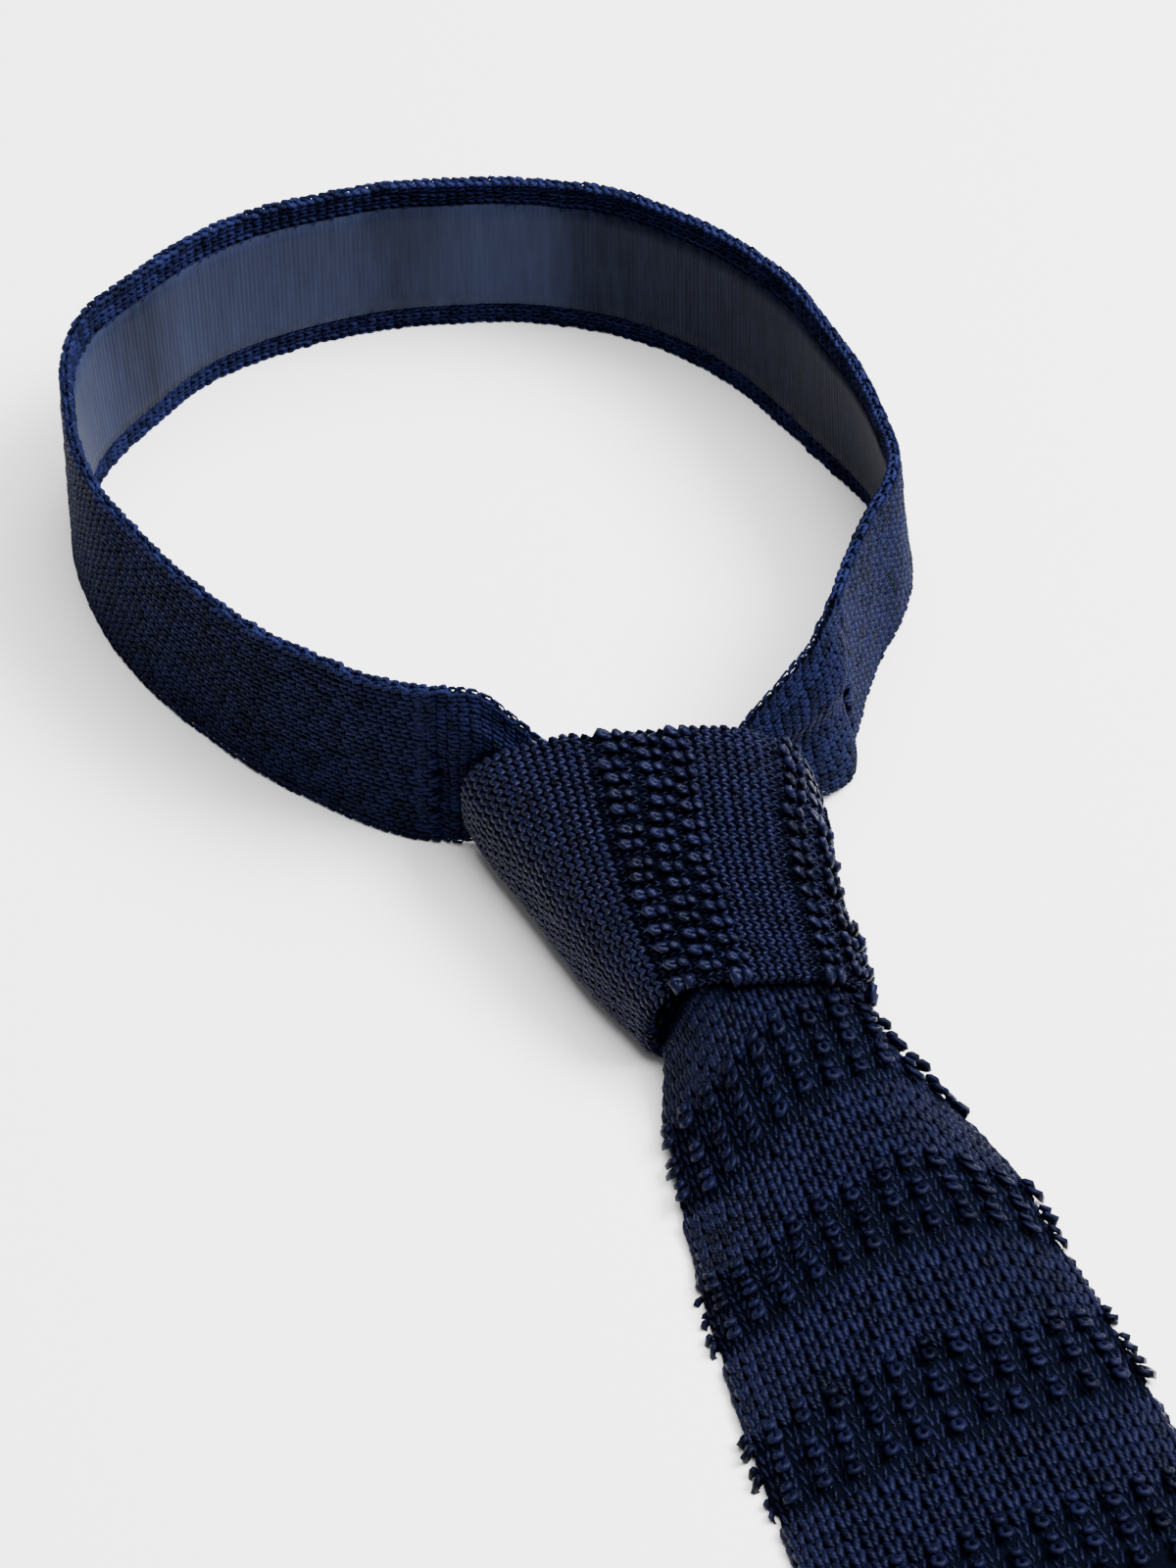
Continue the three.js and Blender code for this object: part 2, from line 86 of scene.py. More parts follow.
# Knitting pattern: bands of raised ribs and bands of plain stitches, in millimetres along the tie.
PATTERN_REPEAT = 28.0
RIB_ROW = 5.35
RIB_ROWS = 3
RIB_BAND = 15.2
RIB_FIRST = 12.7
PLAIN_COURSES = 6
PLAIN_COURSE = (PATTERN_REPEAT - RIB_BAND) / PLAIN_COURSES
# Courses of low stitches under a band of ribs, on the blade and on the knot.
LOW_COURSES, KNOT_LOW_COURSES = 7, 9
KNOT_COURSES = 8
KNOT_COURSE = (PATTERN_REPEAT - RIB_BAND) / KNOT_COURSES
BAND_WALES = 16
END_WALES, END_COURSE = 19, 1.75
EDGE_HOLE = 0.9
# Width and length of a common stitch, which a stitch's outline is drawn for.
COMMON_STITCH = (1.9, 2.1, 1.0)

# The yarn lies this far under the knot's outer size, and the dark ground this far under the
# yarn's middle. The low stitches between the ribs lie this deep on the knot and on the blade.
KNIT_DEPTH = 0.55
# The ground is a near-black sheet of painted shade between the stitches.
GROUND_DEPTH = 0.4
KNOT_LOW_DEPTH, BLADE_LOW_DEPTH = 0.45, 0.6
# The yarn's middle on the neckband's outer face, measured out from the band's path.
BAND_OUTSIDE = 0.45
# The ribs lie flat within this distance of the blade's edge, measured round it.
FLAT_RIBS = 9.0

# Along the ribbon in millimetres, and how light it is painted there: painted light and shade for how its soft
# folds face the lamps, darkest on the right side, which faces away from the key light.
RIBBON_PAINTED_LIGHT_AND_SHADE = np.array([
    (31, 0.3), (60, 0.3), (100, 0.4), (112, 0.1), (124, 0.65), (140, 0.6), (152, 0.15), (160, 0.6),
    (166, 0.55), (190, 0.6), (200, 0.3), (214, 0.75), (226, 0.7), (232, 0.1), (280, 0.0), (350, 0.0),
])

# How far down the blade the pull of the knot moves the courses, in millimetres.
# along, then one column for each place across.
PULL_ACROSS = (-31, -16, -8, 0, 8, 16, 31)
PULL_ROWS = [
    (-20.0, 8.0, 7.0, 4.0, 0.0, -1.5, -2.5, 1.0),
    (5.8, 9.2, 8.4, 4.7, 0.0, -1.8, -3.1, 1.0),
    (16.5, 7.5, 7.2, 3.0, -1.5, -3.8, -5.9, 0.0),
    (33.8, 4.7, 5.0, 1.4, -0.7, -3.1, -3.9, 3.4),
    (44.5, 2.5, 1.2, -1.2, -2.6, -3.4, -3.7, 3.2),
    (61.8, 3.3, 2.6, 1.2, -0.7, 0.1, 0.5, 0.5),
    (72.5, 2.5, 2.5, 1.1, 0.5, 0.0, 0.5, 0.2),
    (89.8, 2.7, 2.7, 2.6, 2.2, 2.1, 2.4, 2.4),
    (117.8, 1.0, 1.0, 1.0, 1.0, 1.0, 1.0, 1.0),
    (145.8, 0.0, 0.0, 0.0, 0.0, 0.0, 0.0, 0.0),
    (470.0, 0.0, 0.0, 0.0, 0.0, 0.0, 0.0, 0.0),
]

# across, along, lean, low, high: the lower edge of the neckband seen from above.
LOOP_ROWS = [
    (-0.226, 0.094, 0.03, 0.01, 0.99),
    (-0.297, 0.147, 0.03, 0.00, 1.00),
    (-0.371, 0.240, 0.02, 0.00, 1.00),
    (-0.437, 0.352, 0.02, 0.00, 1.00),
    (-0.491, 0.473, 0.03, 0.00, 1.00),
    (-0.516, 0.597, 0.02, 0.00, 1.00),
    (-0.514, 0.723, 0.01, 0.00, 1.00),
    (-0.468, 0.833, -0.02, 0.00, 1.00),
    (-0.392, 0.909, 0.00, 0.00, 1.00),
    (-0.264, 0.982, 0.03, 0.00, 1.00),
    (-0.120, 1.001, 0.04, 0.00, 1.00),
    (0.029, 0.984, 0.05, 0.00, 1.00),
    (0.167, 0.936, 0.05, 0.00, 1.00),
    (0.293, 0.840, 0.05, 0.00, 1.00),
    (0.375, 0.716, 0.05, 0.00, 1.00),
    (0.425, 0.571, 0.07, 0.00, 1.00),
    (0.457, 0.450, 0.12, 0.00, 1.00),
    (0.462, 0.338, 0.13, 0.00, 1.00),
    (0.420, 0.250, 0.07, 0.00, 1.00),
    (0.360, 0.181, 0.08, 0.00, 1.00),
    (0.296, 0.084, 0.11, 0.00, 1.00),
    (0.244, 0.009, 0.11, 0.02, 0.98),
]
# row, out, up: how far the band's upper edge strays from those rows, in millimetres.
STRAY_ROWS = [
    (0.0, 0.0, 0.0), (1.6, 0.0, 0.3), (2.4, 0.0, 2.2), (3.1, 0.0, 1.4), (4.0, 0.0, 0.7),
    (5.0, 0.0, 0.5), (8.4, 0.0, 0.2), (9.2, -0.8, 0.2), (10.0, 0.6, 0.4), (10.8, 2.0, 0.6),
    (11.7, 1.2, 0.8), (13.0, 0.3, 1.1), (15.0, 0.1, 0.9), (16.5, 0.4, 0.5), (17.6, 1.8, 0.4),
    (18.4, 0.8, 0.3), (19.2, -0.4, 0.0), (20.0, -1.0, 0.0), (20.8, 0.0, 0.0), (28.0, 0.0, 0.0),
]
# side, out, low, high: where the band's gathered ends go into the knot.
LEFT_END_ROWS = [(-0.575, -0.245, 0.20, 0.80), (-0.690, 0.000, 0.17, 0.83), (-0.965, 0.070, 0.02, 1.10)]
RIGHT_END_ROWS = [(0.735, 0.056, 0.15, 0.97), (0.515, -0.080, 0.20, 0.80), (0.440, -0.300, 0.21, 0.75)]
# centre, width, height: cross sections of the wrap from its upper rim to its lower rim.
WRAP_SECTIONS = [
    (0.000, 1.000, 1.000),
    (-0.024, 0.990, 1.000),
    (-0.040, 0.900, 0.930),
    (-0.012, 0.815, 0.835),
    (0.044, KNOT_NECK_SHARE, KNOT_NECK_HEIGHT_SHARE),
]
# knots, blades, shift, mouth, full, rise, edge, flat: cross sections of the front blade.
BLADE_SECTIONS = [
    (-0.295, 0.000, 0.006, 0.795, 0.000, 0.98, 0.330, 3.0),
    (-0.138, 0.000, 0.019, 0.835, 0.000, 0.99, 0.300, 3.0),
    (0.000, 0.000, 0.045, 0.900, 0.000, 0.96, 0.260, 3.0),
    (0.128, 0.000, 0.064, 0.700, 0.190, 0.83, 0.150, 2.6),
    (0.276, 0.000, 0.072, 0.400, 0.444, 0.63, 0.060, 2.4),
    (0.620, 0.000, 0.087, 0.000, 0.765, 0.345, 0.002, 2.5),
    (0.975, 0.000, 0.105, 0.000, 0.838, 0.185, 0.000, 3.0),
    (1.430, 0.000, 0.109, 0.000, 0.898, 0.065, 0.000, 3.6),
    (0.000, 0.186, 0.105, 0.000, 0.930, 0.030, 0.000, 4.5),
    (0.000, 0.280, 0.102, 0.000, 0.965, 0.000, 0.000, 5.0),
    (0.000, 0.500, 0.102, 0.000, 0.985, 0.000, 0.000, 5.0),
    (0.000, 1.000, 0.102, 0.000, 1.000, 0.000, 0.000, 5.0),
]
# knots, tails, mouth, full, lift: cross sections of the tail.
TAIL_SECTIONS = [
    (-0.224, 0.000, 0.52, 0.00, 1.10),
    (-0.080, 0.000, 0.54, 0.00, 1.10),
    (0.040, 0.000, 0.60, 0.00, 1.08),
    (0.165, 0.000, 0.35, 0.40, 0.34),
    (0.290, 0.000, 0.00, 0.80, 0.00),
    (0.800, 0.000, 0.00, 0.92, 0.00),
    (0.000, 0.250, 0.00, 1.00, 0.00),
    (0.000, 1.000, 0.00, 1.00, 0.00),
]


def frame_shift():
    """Where the middle of the knot's upper rim is in the row frame, in millimetres."""
    low, high = (np.array(corner) * 1000 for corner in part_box("front_blade"))
    blade_middle = BLADE_SECTIONS[-1][2] * KNOT_HALF_WIDTH
    return np.array([0.5 * (low[0] + high[0]) - blade_middle, low[1] + KNOT_LENGTH + BLADE_LENGTH, 0.0])


SHIFT = frame_shift()


def smooth_rows(rows, t):
    """Smooth value of every column at places t, where row 0 is at 0 and the last row at its number."""
    rows, t = np.asarray(rows, float), np.asarray(t, float)
    last = len(rows) - 1
    i = np.clip(np.floor(t).astype(int), 0, last - 1)
    f = (t - i)[..., None]
    a, b, c, d = (rows[np.clip(i + k, 0, last)] for k in (-1, 0, 1, 2))
    return b + 0.5 * f * (c - a + f * (2 * a - 5 * b + 4 * c - d + f * (3 * (b - c) + d - a)))


def rows_at(rows, places, mm):
    """The same, looked up by a distance in millimetres, where places gives each row's."""
    places, mm = np.asarray(places, float), np.asarray(mm, float)
    k = np.clip(np.searchsorted(places, mm, side="left") - 1, 0, len(places) - 2)
    share = np.clip((mm - places[k]) / (places[k + 1] - places[k]), 0, 1)
    return smooth_rows(rows, k + share)


def unit(v):
    """Vectors made one long."""
    return v / np.maximum(np.linalg.norm(v, axis=-1, keepdims=True), 1e-9)


def power(x, exponent):
    """Power of a number that keeps its sign."""
    return np.sign(x) * np.abs(x) ** exponent


# Neckband surface


def band_path():
    """x, y, lean, low and high in millimetres along the neckband: left end, loop, right end."""
    rows = []
    for side, out, low, high in LEFT_END_ROWS:
        rows.append(band_end_row(side, out, low, high))
    for across, along, lean, low, high in LOOP_ROWS:
        edges = (lean * BAND_WIDTH, low * BAND_WIDTH, high * BAND_WIDTH)
        rows.append((across * LOOP_WIDTH, along * LOOP_DEPTH) + edges)
    for side, out, low, high in RIGHT_END_ROWS:
        rows.append(band_end_row(side, out, low, high))
    return np.array(rows)


def band_end_row(side, out, low, high):
    """The same for a row inside the knot, where the sizes are shares of its hollow."""
    x = side * HOLLOW_HALF_WIDTH
    y = out * KNOT_LENGTH + KNOT_SKEW * x
    return (x, y, 0.0, WRAP_WALL + low * HOLLOW_HEIGHT, WRAP_WALL + high * HOLLOW_HEIGHT)


BAND_PATH = band_path()
BAND_STEPS = np.linspace(0, len(BAND_PATH) - 1, 2701)
BAND_LINE = smooth_rows(BAND_PATH, BAND_STEPS)[:, :2]
BAND_MM = np.concatenate([[0], np.cumsum(np.linalg.norm(np.diff(BAND_LINE, axis=0), axis=1))])


def band_mm(u):
    """Distance along the neckband in millimetres at row u of its path."""
    return np.interp(u, BAND_STEPS, BAND_MM)


RIBBON_START = band_mm(len(LEFT_END_ROWS) + 0.35)
RIBBON_END = band_mm(len(LEFT_END_ROWS) + len(LOOP_ROWS) - 2.0)


def band_wave(mm, v):
    """How far soft standing waves push the band out of its smooth path."""
    fade = np.clip((mm - RIBBON_START) / 12, 0, 1) * np.clip((RIBBON_END - mm) / 12, 0, 1)
    low = 0.10 * np.sin(mm / 3.1 + 0.6 * v) + 0.16 * np.sin(mm / 5.3 + 2.0 - 0.8 * v)
    slow = 0.32 * np.sin(mm / 9.7 + 1.1 + 0.5 * v)
    return fade * (low + slow) * (0.45 + 0.55 * v)


def band_point(mm, height, out, share=False):
    """Points of the neckband: height is in millimetres up from its lower edge, or a share of its width."""
    mm = np.asarray(mm, float)
    u = np.interp(mm, BAND_MM, BAND_STEPS)
    row = smooth_rows(BAND_PATH, u)
    before = smooth_rows(BAND_PATH, np.maximum(u - 0.05, 0))
    after = smooth_rows(BAND_PATH, np.minimum(u + 0.05, len(BAND_PATH) - 1))
    way = unit((after - before)[..., :2])
    width = row[..., 4] - row[..., 3]
    v = height if share else height / width
    stray = rows_at([r[1:] for r in STRAY_ROWS], [r[0] for r in STRAY_ROWS], u)
    out = out + band_wave(mm, v) + (stray[..., 0] - row[..., 2]) * v
    x = row[..., 0] - way[..., 1] * out
    y = row[..., 1] + way[..., 0] * out
    z = row[..., 3] + (width + stray[..., 1]) * v
    return np.stack(np.broadcast_arrays(x, y, np.maximum(z, 0.0)), axis=-1)


# Knot surface


def knot_point(t, angle, depth):
    """Points of the knot's skin moved inwards by depth: t runs down the knot, angle round it."""
    t, angle, depth = np.broadcast_arrays(np.asarray(t, float), angle, depth)
    row = smooth_rows(WRAP_SECTIONS, t * (len(WRAP_SECTIONS) - 1))
    exponent = np.where(np.sin(angle) < 0, 2 / KNOT_UNDERSIDE_FLATNESS, 2 / KNOT_ROUNDNESS)
    # The ribs of the right side are drawn in, and the left side bulges over the gathered band.
    drawn = 1.3 * np.maximum(np.cos(angle), 0) ** 2
    bulge = 3.4 * np.maximum(-np.cos(angle), 0) ** 2 * np.exp(-((t / 0.24) ** 2))
    half_width = row[..., 1] * KNOT_HALF_WIDTH - depth - drawn + bulge * (depth < WRAP_WALL)
    half_height = 0.5 * row[..., 2] * KNOT_HEIGHT - depth
    x = row[..., 0] * KNOT_HALF_WIDTH + power(np.cos(angle), exponent) * half_width
    z = 0.5 * row[..., 2] * KNOT_HEIGHT + power(np.sin(angle), exponent) * half_height
    y = -t * KNOT_LENGTH + KNOT_SKEW * x
    return np.stack([x, y, np.maximum(z, np.clip(depth, 0.05, WRAP_WALL))], axis=-1)


# Blade and tail surfaces


def rib_share(mm):
    """How far a place along the blade is inside a band of ribs: 0 on plain cloth, 1 on ribs."""
    nearest = np.maximum(np.round((mm - RIB_FIRST) / PATTERN_REPEAT), 0)
    from_middle = np.abs(mm - RIB_FIRST - nearest * PATTERN_REPEAT)
    return np.clip((0.5 * RIB_BAND - 1.0 - from_middle) / 1.6, 0, 1)


def blade_row(mm):
    """Cross section of the blade at a distance below the knot's lower rim."""
    places = [row[0] * KNOT_LENGTH + row[1] * BLADE_LENGTH for row in BLADE_SECTIONS]
    return rows_at(BLADE_SECTIONS, places, mm)


def blade_crown(mm, rise):
    """Height of the blade's upper side in the middle; past the tail's end it sinks to the surface."""
    past = np.clip((mm - TAIL_LENGTH - BLADE_THICKNESS) / BLADE_DROOP_LENGTH, 0, 1)
    lying = STACK_HEIGHT - (STACK_HEIGHT - BLADE_THICKNESS) * past * past * (3 - 2 * past)
    return lying + (MOUTH_TOP - lying) * np.maximum(rise, 0)


def blade_middle(mm, side, half_thickness):
    """Middle surface of the blade's cloth: side runs from -1 to 1 across it."""
    mm, side = np.broadcast_arrays(np.asarray(mm, float), side)
    row = blade_row(mm)
    half_width = row[..., 3] * MOUTH_HALF_WIDTH + row[..., 4] * BLADE_HALF_WIDTH
    half_width = half_width + 0.4 * RIB_OVERHANG * rib_share(mm) - half_thickness
    x = row[..., 2] * KNOT_HALF_WIDTH + side * half_width
    # The pull of the knot draws the left edge in and lets the right one out.
    left = np.clip((mm - 2) / 8, 0, 1) * (1.0 + 0.6 * np.exp(-(((mm - 17) / 8) ** 2))
                                          + 1.0 * np.exp(-(((mm - 32) / 7) ** 2)))
    right = np.clip((mm + 10) / 8, 0, 1) * (0.5 + 1.1 * np.clip((44 - mm) / 10, 0, 1))
    lying = np.clip((200 - mm) / 80, 0, 1)
    x = x + lying * (left * np.maximum(-side, 0) + right * np.maximum(side, 0))
    edge = half_thickness + 0.25 + np.maximum(row[..., 6], 0) * MOUTH_TOP
    crown = blade_crown(mm, row[..., 5]) - 0.5 * BLADE_THICKNESS
    full = row[..., 7] + np.exp(-((np.maximum(mm, 0) / 9) ** 2)) * (1.0 + 4.0 * np.maximum(side, 0))
    z = edge + (crown - edge) * (1 - np.abs(side) ** full)
    z = z + blade_swell(mm, side)
    skewed = KNOT_SKEW * x * np.maximum(0, 1 - np.maximum(mm, 0) / KNOT_LENGTH)
    return np.stack([x, -KNOT_LENGTH - mm + skewed, z], axis=-1)


def blade_swell(mm, side):
    """Faint unevenness of cloth that lies by its own weight."""
    soft = 0.22 * np.sin(mm / 21 + 2.2 * side) + 0.14 * np.sin(mm / 11 - 3.1 * side + 0.7)
    return soft * np.clip(mm / 30, 0, 1) * (1 - side**4)


def tail_row(mm):
    """Cross section of the tail at a distance below the knot's lower rim."""
    places = [row[0] * KNOT_LENGTH + row[1] * TAIL_LENGTH for row in TAIL_SECTIONS]
    return rows_at(TAIL_SECTIONS, places, mm)


def tail_middle(mm, side, half_thickness):
    """Middle surface of the tail's cloth."""
    mm, side = np.broadcast_arrays(np.asarray(mm, float), side)
    row = tail_row(mm)
    half_width = row[..., 2] * MOUTH_HALF_WIDTH + row[..., 3] * TAIL_HALF_WIDTH - half_thickness
    x = blade_row(mm)[..., 2] * KNOT_HALF_WIDTH + side * half_width
    z = np.maximum(row[..., 4], 0) * (WRAP_WALL + GAP) + 0.5 * TAIL_THICKNESS
    return np.stack(np.broadcast_arrays(x, -KNOT_LENGTH - mm, z), axis=-1)


def flat_tube(middle, mm, half_thickness, inset=0.0, steps=40, turns=6, under=16):
    """Closed cross sections of a flat double cloth, and the column on top in their middle.

    The round starts under the cloth's middle, goes to its left edge, over the top and back under
    it. All of it lies inset millimetres inside the cloth's surface.
    """
    top = np.linspace(-1, 1, steps + 1)
    turn = np.linspace(math.pi, 0, turns + 2)[1:-1]
    side = np.concatenate([np.linspace(0, -1, under + 1), np.full(turns, -1.0), top, np.full(turns, 1.0),
                           np.linspace(1, 0, under + 1)[:-1]])
    tilt = np.concatenate([np.full(under + 1, math.pi), turn, np.zeros(steps + 1), turn[::-1],
                           np.full(under, math.pi)])
    rows = np.asarray(mm, float)[:, None]
    point = middle(rows, side[None, :], half_thickness)
    across = unit(middle(rows, np.minimum(side + 0.01, 1)[None, :], half_thickness)
                  - middle(rows, np.maximum(side - 0.01, -1)[None, :], half_thickness))
    along = unit(middle(rows + 0.3, side[None, :], half_thickness)
                 - middle(rows - 0.3, side[None, :], half_thickness))
    up = unit(np.cross(along, across))
    up = up * np.sign(up[..., 2:3])
    outward = across * np.sign(side)[None, :, None]
    offset = np.cos(tilt)[None, :, None] * up + np.sin(tilt)[None, :, None] * outward
    point = point + (half_thickness - inset) * offset
    point[..., 2] = np.maximum(point[..., 2], 0.05)
    return point, under + 1 + turns + steps // 2


class Skin:
    """A surface that yarn is laid on, asked for by millimetres along it and across it.

    rows are points at the places along, and each row is spaced evenly both ways from its middle.
    """

    def __init__(self, along, rows, middle, facing, columns=121):
        self.along = np.asarray(along, float)
        rows = np.asarray(rows, float)
        step = np.linalg.norm(np.diff(rows, axis=1), axis=2)
        distance = np.concatenate([np.zeros((len(rows), 1)), np.cumsum(step, axis=1)], axis=1)
        distance = distance - distance[:, middle:middle + 1]
        self.reach = np.stack([-distance[:, 0], distance[:, -1]], axis=1)
        share = np.linspace(-1, 1, columns)
        self.points = np.empty((len(rows), columns, 3))
        for k, row in enumerate(rows):
            wanted = np.where(share < 0, share * self.reach[k, 0], share * self.reach[k, 1])
            for axis in range(3):
                self.points[k, :, axis] = np.interp(wanted, distance[k], row[:, axis])
        facing_out = np.cross(np.gradient(self.points, axis=1), np.gradient(self.points, axis=0))
        self.normals = unit(facing_out) * facing

    def half(self, along, side=1):
        """How far the surface reaches from its middle line at a place along it."""
        return np.interp(along, self.along, self.reach[:, side])

    def at(self, along, across, lift):
        """Points lift millimetres above the surface."""
        i = np.interp(along, self.along, np.arange(len(self.along)))
        reach = np.where(across < 0, self.half(along, 0), self.half(along, 1))
        columns = self.points.shape[1]
        j = (np.clip(across / reach, -1, 1) + 1) * 0.5 * (columns - 1)
        i0 = np.clip(np.floor(i).astype(int), 0, len(self.along) - 2)
        j0 = np.clip(np.floor(j).astype(int), 0, columns - 2)
        fi, fj = (i - i0)[:, None], (j - j0)[:, None]

        def mix(grid):
            near = grid[i0, j0] * (1 - fj) + grid[i0, j0 + 1] * fj
            far = grid[i0 + 1, j0] * (1 - fj) + grid[i0 + 1, j0 + 1] * fj
            return near * (1 - fi) + far * fi

        return mix(self.points) + unit(mix(self.normals)) * lift[:, None]


# Yarn


class Yarn:
    """Pieces of yarn as a small mesh: across and along in shares of a stitch, lift in millimetres."""

    def __init__(self):
        self.line = np.zeros((0, 3))
        self.round = np.zeros((0, 3))
        self.quads = np.zeros((0, 4), int)
        self.uv = np.zeros((0, 4, 2))

    def add(self, points, thickness, sides=5, taper=0.45, flat=1.0):
        """A piece of yarn through points; its section is thickness wide, and flat times that high."""
        points = np.asarray(points, float)
        count = len(points)
        way = unit(np.gradient(points * COMMON_STITCH, axis=0))
        side = unit(np.cross(way, np.array([0.0, 0.0, 1.0])))
        high = np.cross(side, way)
        radius = np.full(count, 0.5 * thickness)
        radius[[0, -1]] *= taper
        angle = 2 * math.pi * np.arange(sides) / sides + math.pi / 2
        ring = (np.cos(angle)[None, :, None] * side[:, None, :]
                + np.sin(angle)[None, :, None] * high[:, None, :] * flat) * radius[:, None, None]
        first = len(self.line)
        self.line = np.concatenate([self.line, np.repeat(points, sides, axis=0)])
        self.round = np.concatenate([self.round, ring.reshape(-1, 3)])
        steps = np.linalg.norm(np.diff(points * COMMON_STITCH, axis=0), axis=1)
        length = np.concatenate([[0], np.cumsum(steps)])
        i, j = np.meshgrid(np.arange(count - 1), np.arange(sides), indexing="ij")
        i, j = i.ravel(), j.ravel()
        # The four corners of each face, as steps along the yarn and round it.
        corners = ((0, 0), (0, 1), (1, 1), (1, 0))
        quads = np.stack([(i + a) * sides + (j + b) % sides for a, b in corners], axis=1)
        uv = np.stack([np.stack([(j + b) / sides, length[i + a]], axis=1) for a, b in corners], axis=1)
        self.quads = np.concatenate([self.quads, first + quads])
        self.uv = np.concatenate([self.uv, uv])
        return self


def plain_stitch(sides=5, fine=True, thickness=0.86, wide=False):
    """The legs of a plain stitch: a V that points to the tip of the tie, opened further if wide."""
    yarn = Yarn()
    leg = [(0.13, 0.72, -0.45), (0.15, 0.40, 0.12), (0.22, 0.02, 0.34), (0.33, -0.40, 0.18),
           (0.36, -0.72, -0.45)]
    if wide:
        leg = [(0.03, 0.52, -0.35), (0.09, 0.30, 0.28), (0.26, 0.0, 0.46), (0.42, -0.28, 0.24),
               (0.48, -0.48, -0.35)]
    if not fine:
        leg = [leg[0], tuple(0.5 * (p + q) for p, q in zip(leg[1], leg[2])), leg[3], leg[4]]
    for mirror in (1, -1):
        yarn.add(np.array(leg) * [mirror, 1, 1], thickness, sides, flat=0.9 if wide else 0.62)
    return yarn


def open_loop(sides, thickness):
    """A whole loop of open knitting, hooked through its neighbours above and below."""
    half = [(0.50, 0.42, -0.20), (0.28, 0.42, -0.12), (0.15, 0.22, 0.22), (0.24, -0.12, 0.34),
            (0.34, -0.42, 0.14), (0.24, -0.68, -0.22), (0.0, -0.76, -0.30)]
    path = [(-a, b, n) for a, b, n in half] + [(a, b, n) for a, b, n in half[-2::-1]]
    return Yarn().add(path, thickness, sides, taper=1.0)


def rib_stitch(sides=5, steps=9):
    """One raised rib: a small knob, and a bowl of yarn hanging from it round a dark eye."""
    yarn = Yarn()
    turn = np.linspace(-0.5 * math.pi, 1.5 * math.pi, steps)
    knob, bowl = (-0.28, 0.13, 0.09, 0.15, 1.10), (0.08, 0.20, 0.19, -0.15, 1.40)
    for middle, wide, long, low, high in (knob, bowl):
        down = np.sin(turn)
        across = wide * np.cos(turn) * (0.72 + 0.34 * down)
        lift = low + (high - low) * (0.5 + 0.5 * down) ** 0.6
        yarn.add(np.stack([across, middle + long * down, lift], axis=1), 1.15, sides, taper=0.9)
    return yarn


def edge_arc(sides, thickness):
    """A loop of edge yarn that spans two courses and stands a little proud."""
    path = [(-0.9, -1.05, -0.1), (-0.2, -0.92, 0.1), (0.30, -0.50, 0.16), (0.42, 0.0, 0.18),
            (0.30, 0.50, 0.14), (-0.2, 0.92, -0.02), (-0.9, 1.05, -0.2)]
    return Yarn().add(path, thickness, sides, taper=0.8)


class Knitting:
    """Stitches collected for one mesh."""

    def __init__(self, seed):
        self.random = np.random.default_rng(seed)
        self.points, self.quads, self.uv, self.shade = [], [], [], []
        self.count = 0

    def lay(self, yarn, cells, place, loose=0.04, rise=1.0):
        """Lays one copy of yarn in each cell: its middle across and along, then its size both ways.

        place turns millimetres across, along and above the surface into points; rise makes the
        yarn stand higher or lie flatter.
        """
        cells = np.asarray(cells, float)
        if not len(cells):
            return
        n = len(cells)
        stray = self.random.normal(0, loose, (n, 4))
        size = cells[:, 2:4] * (1 + 0.5 * stray[:, 2:4])
        high = rise * (1 + 2.0 * self.random.normal(0, loose, n))
        thin = np.minimum(1.0, cells[:, 2:3] / COMMON_STITCH[0]) ** 0.5
        across, along = (
            cells[:, k:k + 1] + stray[:, k:k + 1] * size[:, k:k + 1] + yarn.line[None, :, k] * size[:, k:k + 1]
            + yarn.round[None, :, k] * thin for k in (0, 1))
        lift = (yarn.line[None, :, 2] + yarn.round[None, :, 2]) * high[:, None] * thin
        m = len(yarn.line)
        self.points.append(place(across.ravel(), along.ravel(), lift.ravel()))
        first = (self.count + m * np.arange(n))[:, None, None]
        self.quads.append((yarn.quads[None] + first).reshape(-1, 4))
        shift = self.random.uniform(0, 1, (n, 1, 1, 2)) * [1.0, 7.0]
        self.uv.append((yarn.uv[None] + shift).reshape(-1, 4, 2))
        self.shade.append(np.repeat(np.clip(self.random.normal(0.5, 0.22, n), 0, 1), m))
        self.count += n * m

    def mesh(self, name):
        """The mesh object of all the stitches."""
        return mesh_object(name, *(np.concatenate(part)
                                   for part in (self.points, self.quads, self.uv, self.shade)))


def mesh_object(name, points, quads, uv=None, shade=None):
    """A smooth mesh from points in millimetres, with uv in millimetres or turns for each corner."""
    mesh = bpy.data.meshes.new(name)
    mesh.vertices.add(len(points))
    mesh.vertices.foreach_set("co", ((points + SHIFT) * 0.001).astype(np.float32).ravel())
    mesh.loops.add(4 * len(quads))
    mesh.loops.foreach_set("vertex_index", quads.astype(np.int32).ravel())
    mesh.polygons.add(len(quads))
    mesh.polygons.foreach_set("loop_start", np.arange(0, 4 * len(quads), 4, dtype=np.int32))
    mesh.polygons.foreach_set("use_smooth", np.ones(len(quads), bool))
    mesh.update(calc_edges=True)
    layer = mesh.uv_layers.new(name="yarn")
    if uv is not None:
        layer.data.foreach_set("uv", np.asarray(uv, np.float32).ravel())
    if shade is None:
        shade = np.full(len(points), 0.5)
    mesh.attributes.new("shade", "FLOAT", "POINT").data.foreach_set("value", np.asarray(shade, np.float32))
    mesh.validate()
    piece = bpy.data.objects.new(name, mesh)
    bpy.context.scene.collection.objects.link(piece)
    return piece


